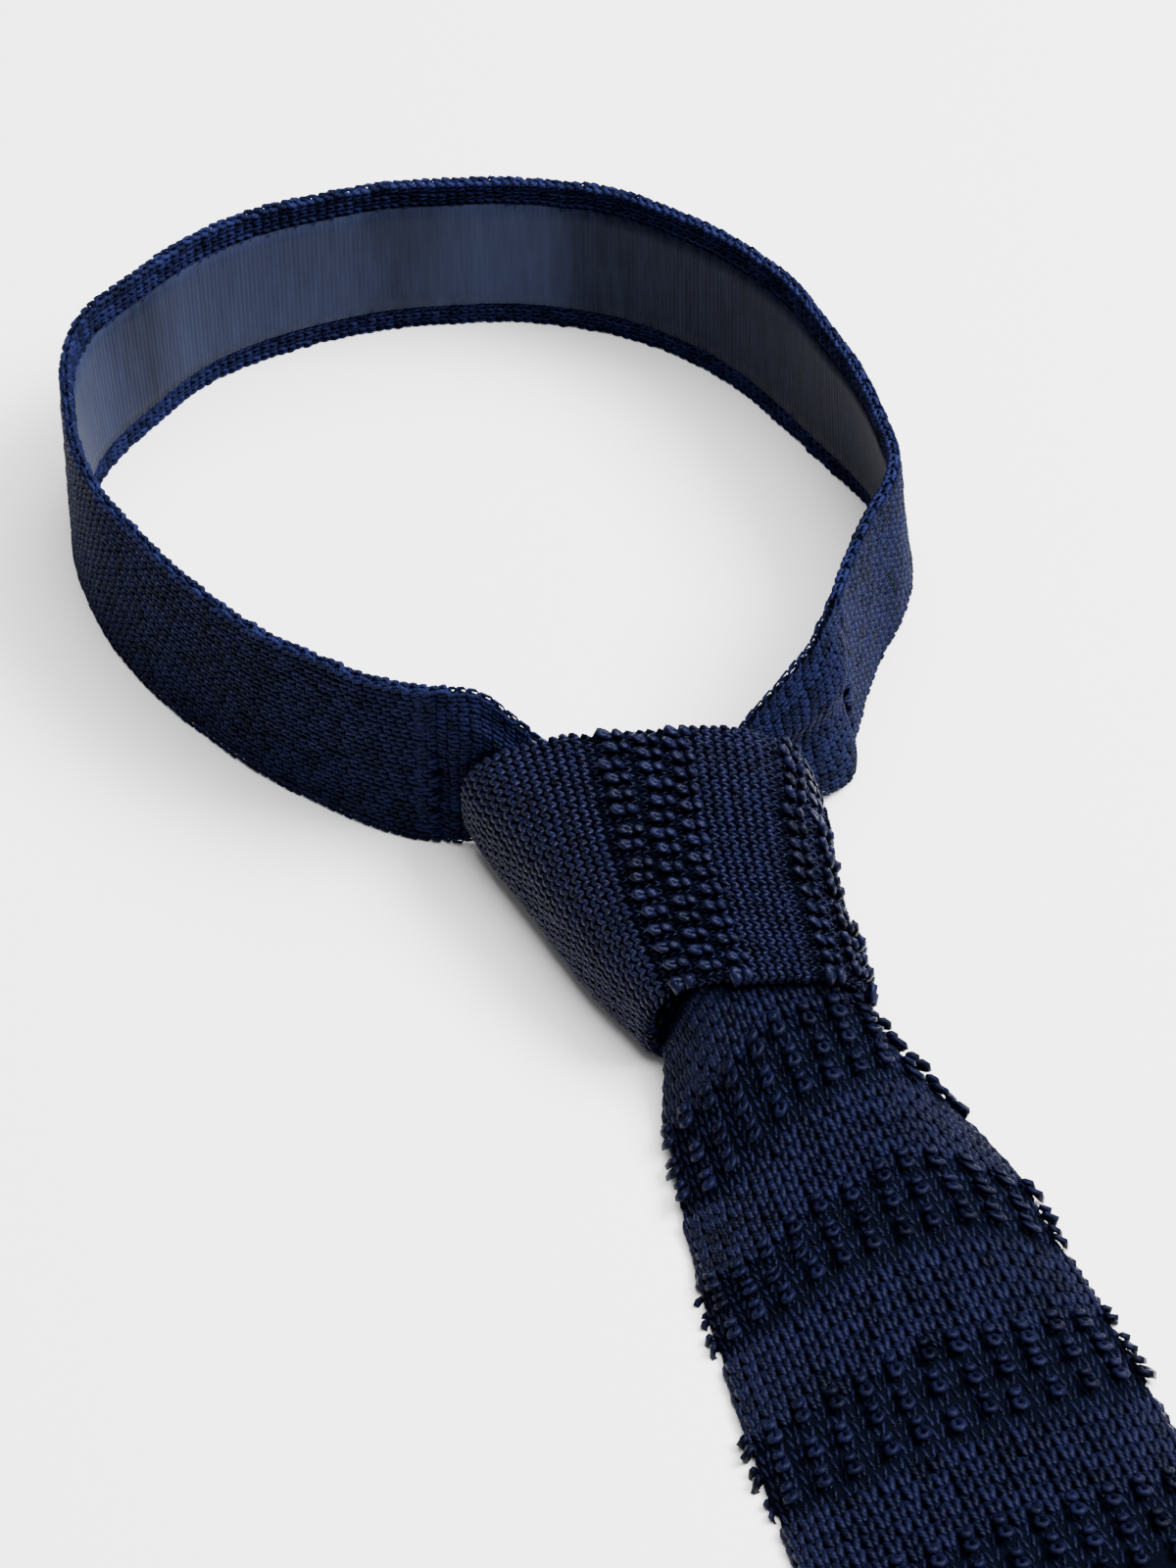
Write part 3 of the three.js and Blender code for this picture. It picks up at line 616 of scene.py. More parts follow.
def closed_cloth(name, rows, along, closed_rows=False, shade=None):
    """A closed mesh through closed rows of points, with its two ends filled unless the rows close too."""
    rows = np.asarray(rows, float)
    count, round_ = rows.shape[:2]
    i, j = np.meshgrid(np.arange(count if closed_rows else count - 1), np.arange(round_), indexing="ij")
    i, j = i.ravel(), j.ravel()
    corners = ((0, 0), (0, 1), (1, 1), (1, 0))
    quads = np.stack([(i + a) % count * round_ + (j + b) % round_ for a, b in corners], axis=1)
    step = np.linalg.norm(np.diff(rows, axis=1, append=rows[:, :1]), axis=2)
    distance = np.concatenate([np.zeros((count, 1)), np.cumsum(step, axis=1)], axis=1)
    along = np.append(np.asarray(along, float), along[0])
    uv = np.stack([np.stack([distance[(i + a) % count, j + b], along[i + a]], 1) for a, b in corners], 1)
    if not closed_rows:
        caps = np.array([np.array([k, k + 1, round_ - 2 - k, round_ - 1 - k]) + row * round_
                         for row in (0, count - 1) for k in range(round_ // 2 - 1)])
        quads = np.concatenate([quads, caps])
        uv = np.concatenate([uv, np.zeros((len(caps), 4, 2))])
    piece = mesh_object(name, rows.reshape(-1, 3), quads, uv, shade)
    bpy.context.view_layer.update()
    tidy_faces(piece)
    return piece


def tidy_faces(piece):
    """Drops faces that have shrunk to nothing and turns the rest outwards."""
    work = bmesh.new()
    work.from_mesh(piece.data)
    bmesh.ops.remove_doubles(work, verts=work.verts, dist=1e-7)
    bmesh.ops.recalc_face_normals(work, faces=work.faces)
    work.to_mesh(piece.data)
    work.free()


# Materials


def linear(colour, alpha=True):
    """An sRGB hex colour as linear red, green and blue."""
    parts = [int(colour[k:k + 2], 16) / 255 for k in (1, 3, 5)]
    parts = [p / 12.92 if p <= 0.04045 else ((p + 0.055) / 1.055) ** 2.4 for p in parts]
    return tuple(parts) + ((1.0,) if alpha else ())


def node(tree, kind, settings=None, links=None):
    """Adds one node. A setting is an input's value, by name or number, or the node's own setting."""
    made = tree.nodes.new(kind)
    for name, value in (settings or {}).items():
        if isinstance(name, int) or name in made.inputs:
            made.inputs[name].default_value = value
        else:
            setattr(made, name, value)
    for name, source in (links or {}).items():
        tree.links.new(source, made.inputs[name])
    return made


def new_material(name, settings):
    """A material with one Principled shader: gives the material, its nodes and the shader."""
    material = bpy.data.materials.new(name)
    material.use_nodes = True
    tree = material.node_tree
    tree.nodes.clear()
    shader = node(tree, "ShaderNodeBsdfPrincipled", settings)
    node(tree, "ShaderNodeOutputMaterial", links={"Surface": shader.outputs[0]})
    return material, tree, shader


def colour_and_relief(tree, shader, tones, amount, height, strength, distance):
    """Colours a shader between two tones by an amount, and raises its surface by a height."""
    colour = node(tree, "ShaderNodeMix", {"data_type": "RGBA", 6: linear(tones[0]), 7: linear(tones[1])},
                  {0: amount})
    tree.links.new(colour.outputs[2], shader.inputs["Base Color"])
    bump = node(tree, "ShaderNodeBump", {"Strength": strength, "Distance": distance}, {"Height": height})
    tree.links.new(bump.outputs[0], shader.inputs["Normal"])


def silk_yarn(name, deep, light, roughness, gloss):
    """Spun silk yarn, plied and dyed navy: small soft glints on each leg, and painted shade between the plies.
    """
    material, tree, shader = new_material(name, {
        "Roughness": roughness, "IOR": 1.5, "Specular IOR Level": gloss, "Specular Tint": linear("#b0b4dc"),
    })
    uv = node(tree, "ShaderNodeUVMap", {"uv_map": "yarn"})
    place = node(tree, "ShaderNodeSeparateXYZ", links={0: uv.outputs[0]})
    # Two plies wind round each other once in 1.6 mm of yarn.
    wind = node(tree, "ShaderNodeMath", {"operation": "MULTIPLY_ADD", 1: 1 / 1.6},
                {0: place.outputs["Y"], 2: place.outputs["X"]})
    turn = node(tree, "ShaderNodeMath", {"operation": "MULTIPLY", 1: 4 * math.pi}, {0: wind.outputs[0]})
    ply = node(tree, "ShaderNodeMath", {"operation": "SINE"}, {0: turn.outputs[0]})
    ply_share = node(tree, "ShaderNodeMapRange", {"From Min": -1.0, "From Max": 1.0}, {"Value": ply.outputs[0]})
    # Fibres are far finer than a pixel, so their streaks are drawn about 0.15 mm apart.
    where = node(tree, "ShaderNodeTexCoord")
    streak = node(tree, "ShaderNodeTexNoise", {"Scale": 3500.0, "Detail": 2.0, "Roughness": 0.6},
                  {"Vector": where.outputs["Object"]})
    cloud = node(tree, "ShaderNodeTexNoise", {"Scale": 45.0, "Detail": 2.0},
                 {"Vector": where.outputs["Object"]})
    shade = node(tree, "ShaderNodeAttribute", {"attribute_name": "shade"})
    # Painted shade: the colour darkens between the plies. The per-stitch shade attribute and the cloud add
    # random tone.
    mixed = node(tree, "ShaderNodeMath", {"operation": "MULTIPLY_ADD", 1: 0.35},
                 {0: ply_share.outputs[0], 2: shade.outputs["Fac"]})
    mixed = node(tree, "ShaderNodeMath", {"operation": "MULTIPLY_ADD", 1: 0.55},
                 {0: cloud.outputs["Fac"], 2: mixed.outputs[0]})
    amount = node(tree, "ShaderNodeMapRange", {"From Min": 0.45, "From Max": 1.25}, {"Value": mixed.outputs[0]})
    relief = node(tree, "ShaderNodeMath", {"operation": "MULTIPLY_ADD", 1: 0.5},
                  {0: streak.outputs["Fac"], 2: ply_share.outputs[0]})
    colour_and_relief(tree, shader, (deep, light), amount.outputs[0], relief.outputs[0], 0.6, 0.00012)
    return material


def ground_knit(name, colour):
    """The inside of the knitting, seen between the stitches: matt, and near black as painted shade."""
    material, tree, shader = new_material(name, {"Roughness": 0.9, "Specular IOR Level": 0.0})
    where = node(tree, "ShaderNodeTexCoord")
    fuzz = node(tree, "ShaderNodeTexNoise", {"Scale": 1200.0, "Detail": 2.0},
                {"Vector": where.outputs["Object"]})
    colour_and_relief(tree, shader, ("#020306", colour), fuzz.outputs["Fac"], fuzz.outputs["Fac"], 0.5, 0.0003)
    return material


def flat_knit(name, deep="#05070f", light="#10163a"):
    """Plain silk knitting where no stitch is modelled: rows of V stitches of the real size as relief, coloured
    darker in the grooves as painted shade.
    """
    material, tree, shader = new_material(name, {
        "Roughness": 0.5, "Sheen Weight": 0.2, "Sheen Roughness": 0.5, "Sheen Tint": linear("#8f9dcb"),
        "Specular IOR Level": 0.4,
    })
    uv = node(tree, "ShaderNodeUVMap", {"uv_map": "yarn"})
    place = node(tree, "ShaderNodeSeparateXYZ", links={0: uv.outputs[0]})
    wales = node(tree, "ShaderNodeMath", {"operation": "DIVIDE", 1: COMMON_STITCH[0]}, {0: place.outputs["X"]})
    saw = node(tree, "ShaderNodeMath", {"operation": "PINGPONG", 1: 0.5}, {0: wales.outputs[0]})
    courses = node(tree, "ShaderNodeMath", {"operation": "DIVIDE", 1: COMMON_STITCH[1]},
                   {0: place.outputs["Y"]})
    slant = node(tree, "ShaderNodeMath", {"operation": "MULTIPLY_ADD", 1: 1.6},
                 {0: saw.outputs[0], 2: courses.outputs[0]})
    turn = node(tree, "ShaderNodeMath", {"operation": "MULTIPLY", 1: 2 * math.pi}, {0: slant.outputs[0]})
    leg = node(tree, "ShaderNodeMath", {"operation": "SINE"}, {0: turn.outputs[0]})
    valley = node(tree, "ShaderNodeMath", {"operation": "MULTIPLY", 1: 2 * math.pi}, {0: saw.outputs[0]})
    ridge = node(tree, "ShaderNodeMath", {"operation": "SINE"}, {0: valley.outputs[0]})
    height = node(tree, "ShaderNodeMath", {"operation": "MULTIPLY_ADD", 1: 0.35},
                  {0: leg.outputs[0], 2: ridge.outputs[0]})
    # Painted shade and light: the colour follows the relief, darkest in the grooves between the legs and
    # lightest on their tops.
    amount = node(tree, "ShaderNodeMapRange", {"From Min": 0.0, "From Max": 1.2}, {"Value": height.outputs[0]})
    colour_and_relief(tree, shader, (deep, light), amount.outputs[0], height.outputs[0], 0.9, 0.0003)
    return material


def grosgrain(name, deep, light):
    """Grosgrain ribbon, woven with thick weft ribs under fine warp: soft gloss along the top of each rib, and
    painted light and shade along the ribbon.
    """
    material, tree, shader = new_material(name, {
        "Roughness": 0.45, "Specular IOR Level": 0.02, "Specular Tint": linear("#b4c0f0"),
    })
    uv = node(tree, "ShaderNodeUVMap", {"uv_map": "yarn"})
    place = node(tree, "ShaderNodeSeparateXYZ", links={0: uv.outputs[0]})
    where = node(tree, "ShaderNodeTexCoord")
    # The warp threads cross the ribs about 0.25 mm apart.
    warp = node(tree, "ShaderNodeMath", {"operation": "MULTIPLY", 1: 2 * math.pi / 0.25},
                {0: place.outputs["X"]})
    warp = node(tree, "ShaderNodeMath", {"operation": "SINE"}, {0: warp.outputs[0]})
    stretch = node(tree, "ShaderNodeMapping", {"Scale": (900.0, 900.0, 90.0)},
                   {"Vector": where.outputs["Object"]})
    slub = node(tree, "ShaderNodeTexNoise", {"Scale": 1.0, "Detail": 3.0}, {"Vector": stretch.outputs[0]})
    # The shade attribute brings the painted light and shade along the ribbon; the slub noise adds random tone.
    shade = node(tree, "ShaderNodeAttribute", {"attribute_name": "shade"})
    amount = node(tree, "ShaderNodeMath", {"operation": "MULTIPLY_ADD", 1: 0.6},
                  {0: slub.outputs["Fac"], 2: shade.outputs["Fac"]})
    amount = node(tree, "ShaderNodeMapRange", {"From Min": 0.1, "From Max": 1.3}, {"Value": amount.outputs[0]})
    relief = node(tree, "ShaderNodeMath", {"operation": "MULTIPLY_ADD", 1: 0.25},
                  {0: warp.outputs[0], 2: slub.outputs["Fac"]})
    colour_and_relief(tree, shader, (deep, light), amount.outputs[0], relief.outputs[0], 0.4, 0.0001)
    return material


def dress(piece, material, body="root"):
    """Gives a piece its material, and lets it ride on a body."""
    piece.data.materials.clear()
    piece.data.materials.append(material)
    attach(piece, body)
    return piece


def yarn_material(context, state):
    """The yarn, made once for each state: loose, tight on the knot, flat or open round the neck. Each state is
    a lighter copy of the same yarn colours, which paints light on it.
    """
    name = "Silk yarn, plied, dyed navy, " + state
    made = bpy.data.materials.get(name)
    if made is None:
        colours = context.scene.knit_tie_colours
        # The yarn's roughness and gloss, and how much lighter than the colours each copy is painted: painted
        # light, with the knot's copy lit where the key light falls on it and the neckband's copies made far
        # lighter still.
        roughness, gloss, light = {
            "loose": (0.46, 0.08, 1.1), "tight": (0.4, 0.13, 1.35),
            "flat": (0.6, 0.05, 2.2), "open": (0.6, 0.04, 3.8),
        }[state]
        deep, pale = ([light * c for c in colour] for colour in (colours.yarn_deep, colours.yarn_light))
        made = silk_yarn(name, hex_of(deep), hex_of(pale), roughness, gloss)
    return made


def ground_material():
    """What shows between the stitches, near black as painted shade, made once."""
    name = "Silk knitting, shaded inside"
    return bpy.data.materials.get(name) or ground_knit(name, "#05070f")


def hex_of(colour):
    """A linear colour as an sRGB hex value."""
    parts = [12.92 * c if c <= 0.0031308 else 1.055 * c ** (1 / 2.4) - 0.055 for c in colour]
    return "#" + "".join(f"{round(255 * min(max(p, 0), 1)):02x}" for p in parts)


class TieSizes(bpy.types.PropertyGroup):
    """Sizes of the knitting that a user would change."""

    yarn_thickness: FloatProperty(
        name="Yarn thickness", description="Thickness of the yarn in the plain stitches",
        default=0.0012, min=0.0003, max=0.0015, unit="LENGTH", precision=5)
    knot_stitch: FloatProperty(
        name="Knot stitch", description="Distance between neighbouring stitches on the knot",
        default=0.00145, min=0.0008, max=0.003, unit="LENGTH", precision=5)
    border_stitch: FloatProperty(
        name="Border stitch", description="Distance between neighbouring loops along the neckband's borders",
        default=0.0016, min=0.0008, max=0.003, unit="LENGTH", precision=5)
    ribbon_rib: FloatProperty(
        name="Ribbon rib", description="Distance between neighbouring ribs of the grosgrain ribbon",
        default=0.00081, min=0.0004, max=0.002, unit="LENGTH", precision=5)


class TieColours(bpy.types.PropertyGroup):
    """Colours of the yarn and the ribbon that a user would change."""

    # The yarn's deep colour also stands for painted shade between the plies, and its light colour for painted
    # light on their tops, besides random tone.
    yarn_deep: FloatVectorProperty(
        name="Yarn, deep", description="Colour of the yarn in its folds",
        default=linear("#020309", False), min=0, max=1, subtype="COLOR")
    yarn_light: FloatVectorProperty(
        name="Yarn, light", description="Colour of the yarn where it is worn light",
        default=linear("#080a1d", False), min=0, max=1, subtype="COLOR")
    # The ribbon's deep and light colours also carry the painted light and shade along it, besides the random
    # tone of its slubs.
    ribbon_deep: FloatVectorProperty(
        name="Ribbon, deep", description="Colour of the ribbon in its darker slubs",
        default=linear("#07080e", False), min=0, max=1, subtype="COLOR")
    ribbon_light: FloatVectorProperty(
        name="Ribbon, light", description="Colour of the ribbon in its lighter slubs",
        default=linear("#262b40", False), min=0, max=1, subtype="COLOR")


class TIE_OT_neckband(bpy.types.Operator):
    """The knitted band round the neck, with open borders and gathered ends"""

    bl_idname = "knit_tie.neckband"
    bl_label = "Neckband"

    def execute(self, context):
        course = context.scene.knit_tie.border_stitch * 1000
        mm = np.arange(RIBBON_START - 1.0, RIBBON_END + 1.0, 0.8)
        # The band's inside is a dark sheet of painted shade.
        inside = ground_knit("Silk knitting inside the neckband, painted shade", "#11152b")
        cloth = dress(self.cloth(mm), inside)
        face, borders, gathers = Knitting(3), Knitting(4), Knitting(6)
        self.face(face, course)
        self.borders(borders, course)
        self.ends(gathers)
        for name, knitting, state in (("neckband_face", face, "flat"), ("neckband_borders", borders, "open"),
                                      ("neckband_gathers", gathers, "flat")):
            dress(knitting.mesh(name), yarn_material(context, state))
        for name, first, last in (("neckband_left_end", 0.0, RIBBON_START + 1.5),
                                  ("neckband_right_end", RIBBON_END - 1.5, BAND_MM[-1])):
            dress(self.gathered(name, first, last), ground_material())
        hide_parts("neckband")
        return {"FINISHED"}

    def cloth(self, mm):
        """The inside of the band, near black with painted shade, up to the small holes along its edges."""
        low, high = EDGE_HOLE, BAND_WIDTH - EDGE_HOLE
        height = np.concatenate([np.linspace(low, high, 13), np.linspace(high, low, 13)])
        out = np.concatenate([np.full(13, 0.1), np.full(13, -0.3)])
        out[[0, 12, 13, 25]] *= 0.4
        rows = band_point(mm[:, None], height[None, :], out[None, :])
        return closed_cloth("neckband_cloth", rows, mm)

    def gathered(self, name, first, last):
        """A gathered end, where the band has no ribbon and goes into the knot."""
        mm = np.arange(first, last, 0.8)
        share = np.concatenate([np.linspace(0.03, 0.97, 25), np.linspace(0.97, 0.03, 25)])[None, :]
        out = np.concatenate([np.full(25, 0.25), np.full(25, -0.45)])[None, :]
        rows = band_point(mm[:, None], share, out + gather(mm[:, None], share), share=True)
        return closed_cloth(name, rows, mm)

    def face(self, knitting, course):
        """Plain stitches over the outer face, in wales along the band, each half a stitch past the last."""
        wale = BAND_WIDTH / BAND_WALES
        stitch = plain_stitch(4, False, 1.0)
        for number in range(BAND_WALES):
            mm = np.arange(RIBBON_START - 1.5, RIBBON_END + 1.5, course) + 0.5 * course * (number % 2)
            knitting.lay(stitch, cells_along((number + 0.5) * wale, mm, wale, course), self.outside, 0.05)

    def borders(self, knitting, course):
        """Open loops along both borders of the inner face, and the scalloped edges."""
        mm = np.arange(RIBBON_START - 3.0, RIBBON_END + 3.0, course)
        wale = 0.5 * (BAND_WIDTH - RIBBON_WIDTH) / 2.6
        loop = open_loop(3, 0.95)
        for base, way in ((0.0, 1), (BAND_WIDTH, -1)):
            for row in range(3):
                knitting.lay(loop, cells_along(base + way * (0.75 + wale * row), mm, wale * 1.02, course),
                             self.inside, 0.05)
            knitting.lay(edge_arc(5, 0.8), cells_along(base + way * 0.62, mm[::2], way * -1.4, course),
                         self.edge, 0.05)

    @staticmethod
    def outside(across, along, lift):
        """Points on the band's outer face."""
        return band_point(along, across, BAND_OUTSIDE + lift)

    @staticmethod
    def inside(across, along, lift):
        """Points on the band's inner face."""
        return band_point(along, across, -0.55 - lift)

    @staticmethod
    def edge(across, along, lift):
        """Points on the band's edges, never below the surface that the band stands on."""
        points = band_point(along, across, lift)
        points[:, 2] = np.maximum(points[:, 2], 0.05)
        return points

    def ends(self, knitting):
        """Plain stitches over both faces of the gathered ends."""
        stitch = plain_stitch(4, False)
        wale = BAND_WIDTH / END_WALES

        def on_gathers(along, across, out):
            v = across / BAND_WIDTH
            return band_point(along, v, out + gather(along, v), share=True)

        def outer(across, along, lift):
            return on_gathers(along, across, BAND_OUTSIDE + lift)

        def inner(across, along, lift):
            return on_gathers(along, across, -0.65 - lift)

        for first, last in ((4.0, RIBBON_START + 0.4), (RIBBON_END - 0.4, BAND_MM[-1] - 4.0)):
            mm = np.arange(first, last, END_COURSE)
            for number in range(END_WALES):
                cells = cells_along((number + 0.5) * wale, mm, wale, END_COURSE)
                for face in (outer, inner):
                    knitting.lay(stitch, cells, face, 0.06)


def cells_along(across, mm, width, length):
    """Cells of one row of stitches at the places mm, all of the same size."""
    mm = np.asarray(mm, float)
    return np.stack([np.full(len(mm), across), mm, np.full(len(mm), width), np.full(len(mm), length)], axis=1)


def gather(mm, v):
    """Pleats of the band's gathered ends, deepest at the knot."""
    from_ribbon = np.maximum(RIBBON_START - mm, mm - RIBBON_END)
    depth = 1.3 * np.clip(from_ribbon / 9, 0, 1)
    groove = -1.0 * np.exp(-((from_ribbon - 2.5) / 1.6) ** 2)
    return depth * np.sin(2 * math.pi * 1.6 * v + 0.8) + groove * np.clip(1.6 * (1 - v), 0.2, 1)


class TIE_OT_ribbon(bpy.types.Operator):
    """Grosgrain ribbon sewn to the inside of the neckband"""

    bl_idname = "knit_tie.ribbon"
    bl_label = "Ribbon"

    def execute(self, context):
        sizes, colours = context.scene.knit_tie, context.scene.knit_tie_colours
        rib = sizes.ribbon_rib * 1000
        mm = np.arange(RIBBON_START, RIBBON_END, rib / 4)
        border = 0.5 * (BAND_WIDTH - RIBBON_WIDTH)
        height = np.linspace(border, BAND_WIDTH - border, 9)
        height = np.concatenate([height, height[::-1]])
        ribs = 0.11 * (np.abs(np.sin(math.pi * mm / rib)) - 0.5)
        inner, thickness = -1.3, 0.5
        out = np.full((len(mm), 18), inner + thickness)
        out[:, :9] = (inner - ribs)[:, None]
        rows = band_point(mm[:, None], height[None, :], out)
        # Painted light and shade along the ribbon, carried to its material by the shade attribute.
        painted_light_and_shade = np.interp(mm, RIBBON_PAINTED_LIGHT_AND_SHADE[:, 0], RIBBON_PAINTED_LIGHT_AND_SHADE[:, 1])
        ribbon = closed_cloth("ribbon", rows, mm, shade=np.repeat(painted_light_and_shade, 18))
        material = grosgrain("Grosgrain ribbon, woven rayon", hex_of(colours.ribbon_deep),
                             hex_of(colours.ribbon_light))
        dress(ribbon, material)
        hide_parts("neckband_ribbon")
        return {"FINISHED"}


def knot_skin(inset=0.0):
    """The wrap's outer surface with its rounded rims, as rows, and as the surface that its yarn lies on."""
    under, wall = KNIT_DEPTH + inset, WRAP_WALL
    r = 0.5 * (wall - under)
    turn = np.linspace(0, math.pi, 7)
    lip_t = (r + inset) / KNOT_LENGTH
    body_t = np.linspace(lip_t, 1 - lip_t, 44)
    down = ([(t, wall, 0.0) for t in (0.10, 0.06)]
            + [(lip_t, under + r + r * math.cos(a), r * math.sin(a)) for a in turn[:-1]]
            + [(t, under, 0.0) for t in body_t]
            + [(1 - lip_t, under + r - r * math.cos(a), -r * math.sin(a)) for a in turn[1:]]
            + [(t, wall, 0.0) for t in (0.94, 0.90)])
    down = np.array(down)
    angle = np.linspace(-math.pi / 2, 1.5 * math.pi, 241)
    rows = knot_point(down[:, 0:1], angle[None, :], down[:, 1:2])
    rows[..., 1] += down[:, 2:3]
    line = np.linalg.norm(np.diff(rows[:, 120], axis=0), axis=1)
    place_down = np.concatenate([[0], np.cumsum(line)])
    return rows, Skin(place_down - place_down[8], rows, 120, 1, 241)


class TIE_OT_knot(bpy.types.Operator):
    """The wrap round the knot and the pass over its top"""

    bl_idname = "knit_tie.knot"
    bl_label = "Knot"

    def execute(self, context):
        stitch = context.scene.knit_tie.knot_stitch * 1000
        skin = knot_skin()[1]
        rows = knot_skin(GROUND_DEPTH)[0]
        angle = np.linspace(-math.pi / 2, 1.5 * math.pi, 241)
        back = np.array([(t, WRAP_WALL, 0.0) for t in np.linspace(0.86, 0.14, 12)])
        inside = knot_point(back[:, 0:1], angle[None, :], back[:, 1:2])
        whole = np.concatenate([rows, inside])[:, :-1:3]
        along = np.concatenate([[0], np.cumsum(np.linalg.norm(np.diff(whole[:, 40], axis=0), axis=1))])
        wrap = closed_cloth("knot_cloth", whole, along, closed_rows=True)
        dress(wrap, ground_material())
        knitting = Knitting(5)
        self.stitches(knitting, skin, stitch)
        knit = dress(knitting.mesh("knot_knitting"), yarn_material(context, "tight"))
        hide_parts("knot_wrap")
        self.filling(context)
        return {"FINISHED"}

    def stitches(self, knitting, skin, stitch):
        """Stitches of the wrap: wales round the knot, with bands of ribs down its front and right side."""

        def low(across, along, lift):
            return skin.at(across, along, lift - KNOT_LOW_DEPTH)

        plain, far, rib = plain_stitch(wide=True), plain_stitch(3, False, wide=True), rib_stitch()
        wales = np.arange(-2.0, KNOT_LENGTH + 2.0, stitch)
        plain_cells, far_cells, rib_cells, side_cells, low_cells = [], [], [], [], []
        for k, a in enumerate(wales):
            t = np.clip(a / KNOT_LENGTH, 0, 1)
            scale = 1 - 0.2 * t
            middle = 3.5 + 5.5 * t
            half = float(skin.half(a))
            for band in range(-3, 4):
                start = middle + (band * PATTERN_REPEAT - 0.5 * RIB_BAND) * scale
                # The knot's left side is plain.
                ribbed = start + 0.5 * RIB_BAND * scale <= 20
                for number in range(KNOT_LOW_COURSES):
                    b = start + (number + 0.5) * RIB_BAND / KNOT_LOW_COURSES * scale
                    if abs(b) < half - 1:
                        low_cells.append((a, b, stitch, KNOT_COURSE * scale))
                        if not ribbed:
                            plain_cells.append((a, b, stitch, RIB_BAND / KNOT_LOW_COURSES * scale))
                for row in range(RIB_ROWS if ribbed else 0):
                    b = start + (0.6 + row * RIB_ROW) * scale
                    if abs(b + 2.5) < half - 12 and (k + row) % 2 == 0 and -0.5 < a < KNOT_LENGTH:
                        cell = (a, b, 2 * stitch, RIB_ROW * scale)
                        (rib_cells if abs(b + 2.5) < 20 else side_cells).append(cell)
                for number in range(KNOT_COURSES):
                    b = start + (RIB_BAND + (number + 0.5) * KNOT_COURSE) * scale
                    if abs(b) < half - 1:
                        cell = (a, b, stitch, KNOT_COURSE * scale)
                        (plain_cells if abs(b) < 28 else far_cells).append(cell)
        knitting.lay(plain, plain_cells, skin.at, 0.05)
        knitting.lay(far, far_cells, skin.at, 0.05)
        knitting.lay(far, low_cells, low, 0.05)
        knitting.lay(rib, rib_cells, skin.at, 0.07, 1.1)
        knitting.lay(rib, side_cells, skin.at, 0.05, 0.3)

    def filling(self, context):
        """The blade's pass down inside the wrap, as one soft roll."""
        length = KNOT_LENGTH - BLADE_INSIDE - 2 * GAP
        stations = np.array([(-0.150, 0.30), (-0.130, 0.62), (-0.080, 0.88), (0.020, 1.00), (0.250, 1.00),
                             (0.500, 1.00), (0.750, 1.00), (0.960, 0.97), (1.000, 0.80)])
        t = np.linspace(0, len(stations) - 1, 49)
        place, swell = smooth_rows(stations, t).T
        share = place * length / KNOT_LENGTH
        angle = np.linspace(0, 2 * math.pi, 65)[:-1]
        half_height = 0.5 * smooth_rows(WRAP_SECTIONS, np.clip(share, 0, 1) * 4)[:, 2] * KNOT_HEIGHT
        x = PASS_SHIFT + power(np.cos(angle), 2 / 3)[None, :] * swell[:, None] * (PASS_HALF_WIDTH - 0.3)
        z = half_height[:, None] + power(np.sin(angle), 2 / 3)[None, :] * swell[:, None] * (
            half_height[:, None] - WRAP_WALL - GAP - 0.3)
        y = -share[:, None] * KNOT_LENGTH + KNOT_SKEW * x
        roll = closed_cloth("knot_filling", np.stack([x, y, z], axis=-1), place * length)
        dress(roll, flat_knit("Silk knitting, plain side"))
        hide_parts("knot_pass")


def blade_skin():
    """Places along the blade, its dark ground's cross sections, and the surface that its yarn lies on."""
    mm = np.concatenate([np.arange(-BLADE_INSIDE, BLADE_LENGTH - 1, 1.0), [BLADE_LENGTH - 0.9]])
    rows, middle = flat_tube(blade_middle, mm, 0.80)
    ground = flat_tube(blade_middle, mm, 0.80, GROUND_DEPTH)[0]
    return mm, ground, Skin(mm, rows[:, 8:-8], middle - 8, -1, 161)


def blade_pull(across, along):
    """How far down the blade the pull of the knot moves the yarn."""
    rows = rows_at([row[1:] for row in PULL_ROWS], [row[0] for row in PULL_ROWS], along)
    place = np.interp(across, PULL_ACROSS, np.arange(len(PULL_ACROSS)))
    first = np.clip(np.floor(place).astype(int), 0, len(PULL_ACROSS) - 2)
    f = place - first
    a, b, c, d = (np.take_along_axis(rows, np.clip(first + k, 0, len(PULL_ACROSS) - 1)[:, None], 1)[:, 0]
                  for k in (-1, 0, 1, 2))
    return b + 0.5 * f * (c - a + f * (2 * a - 5 * b + 4 * c - d + f * (3 * (b - c) + d - a)))


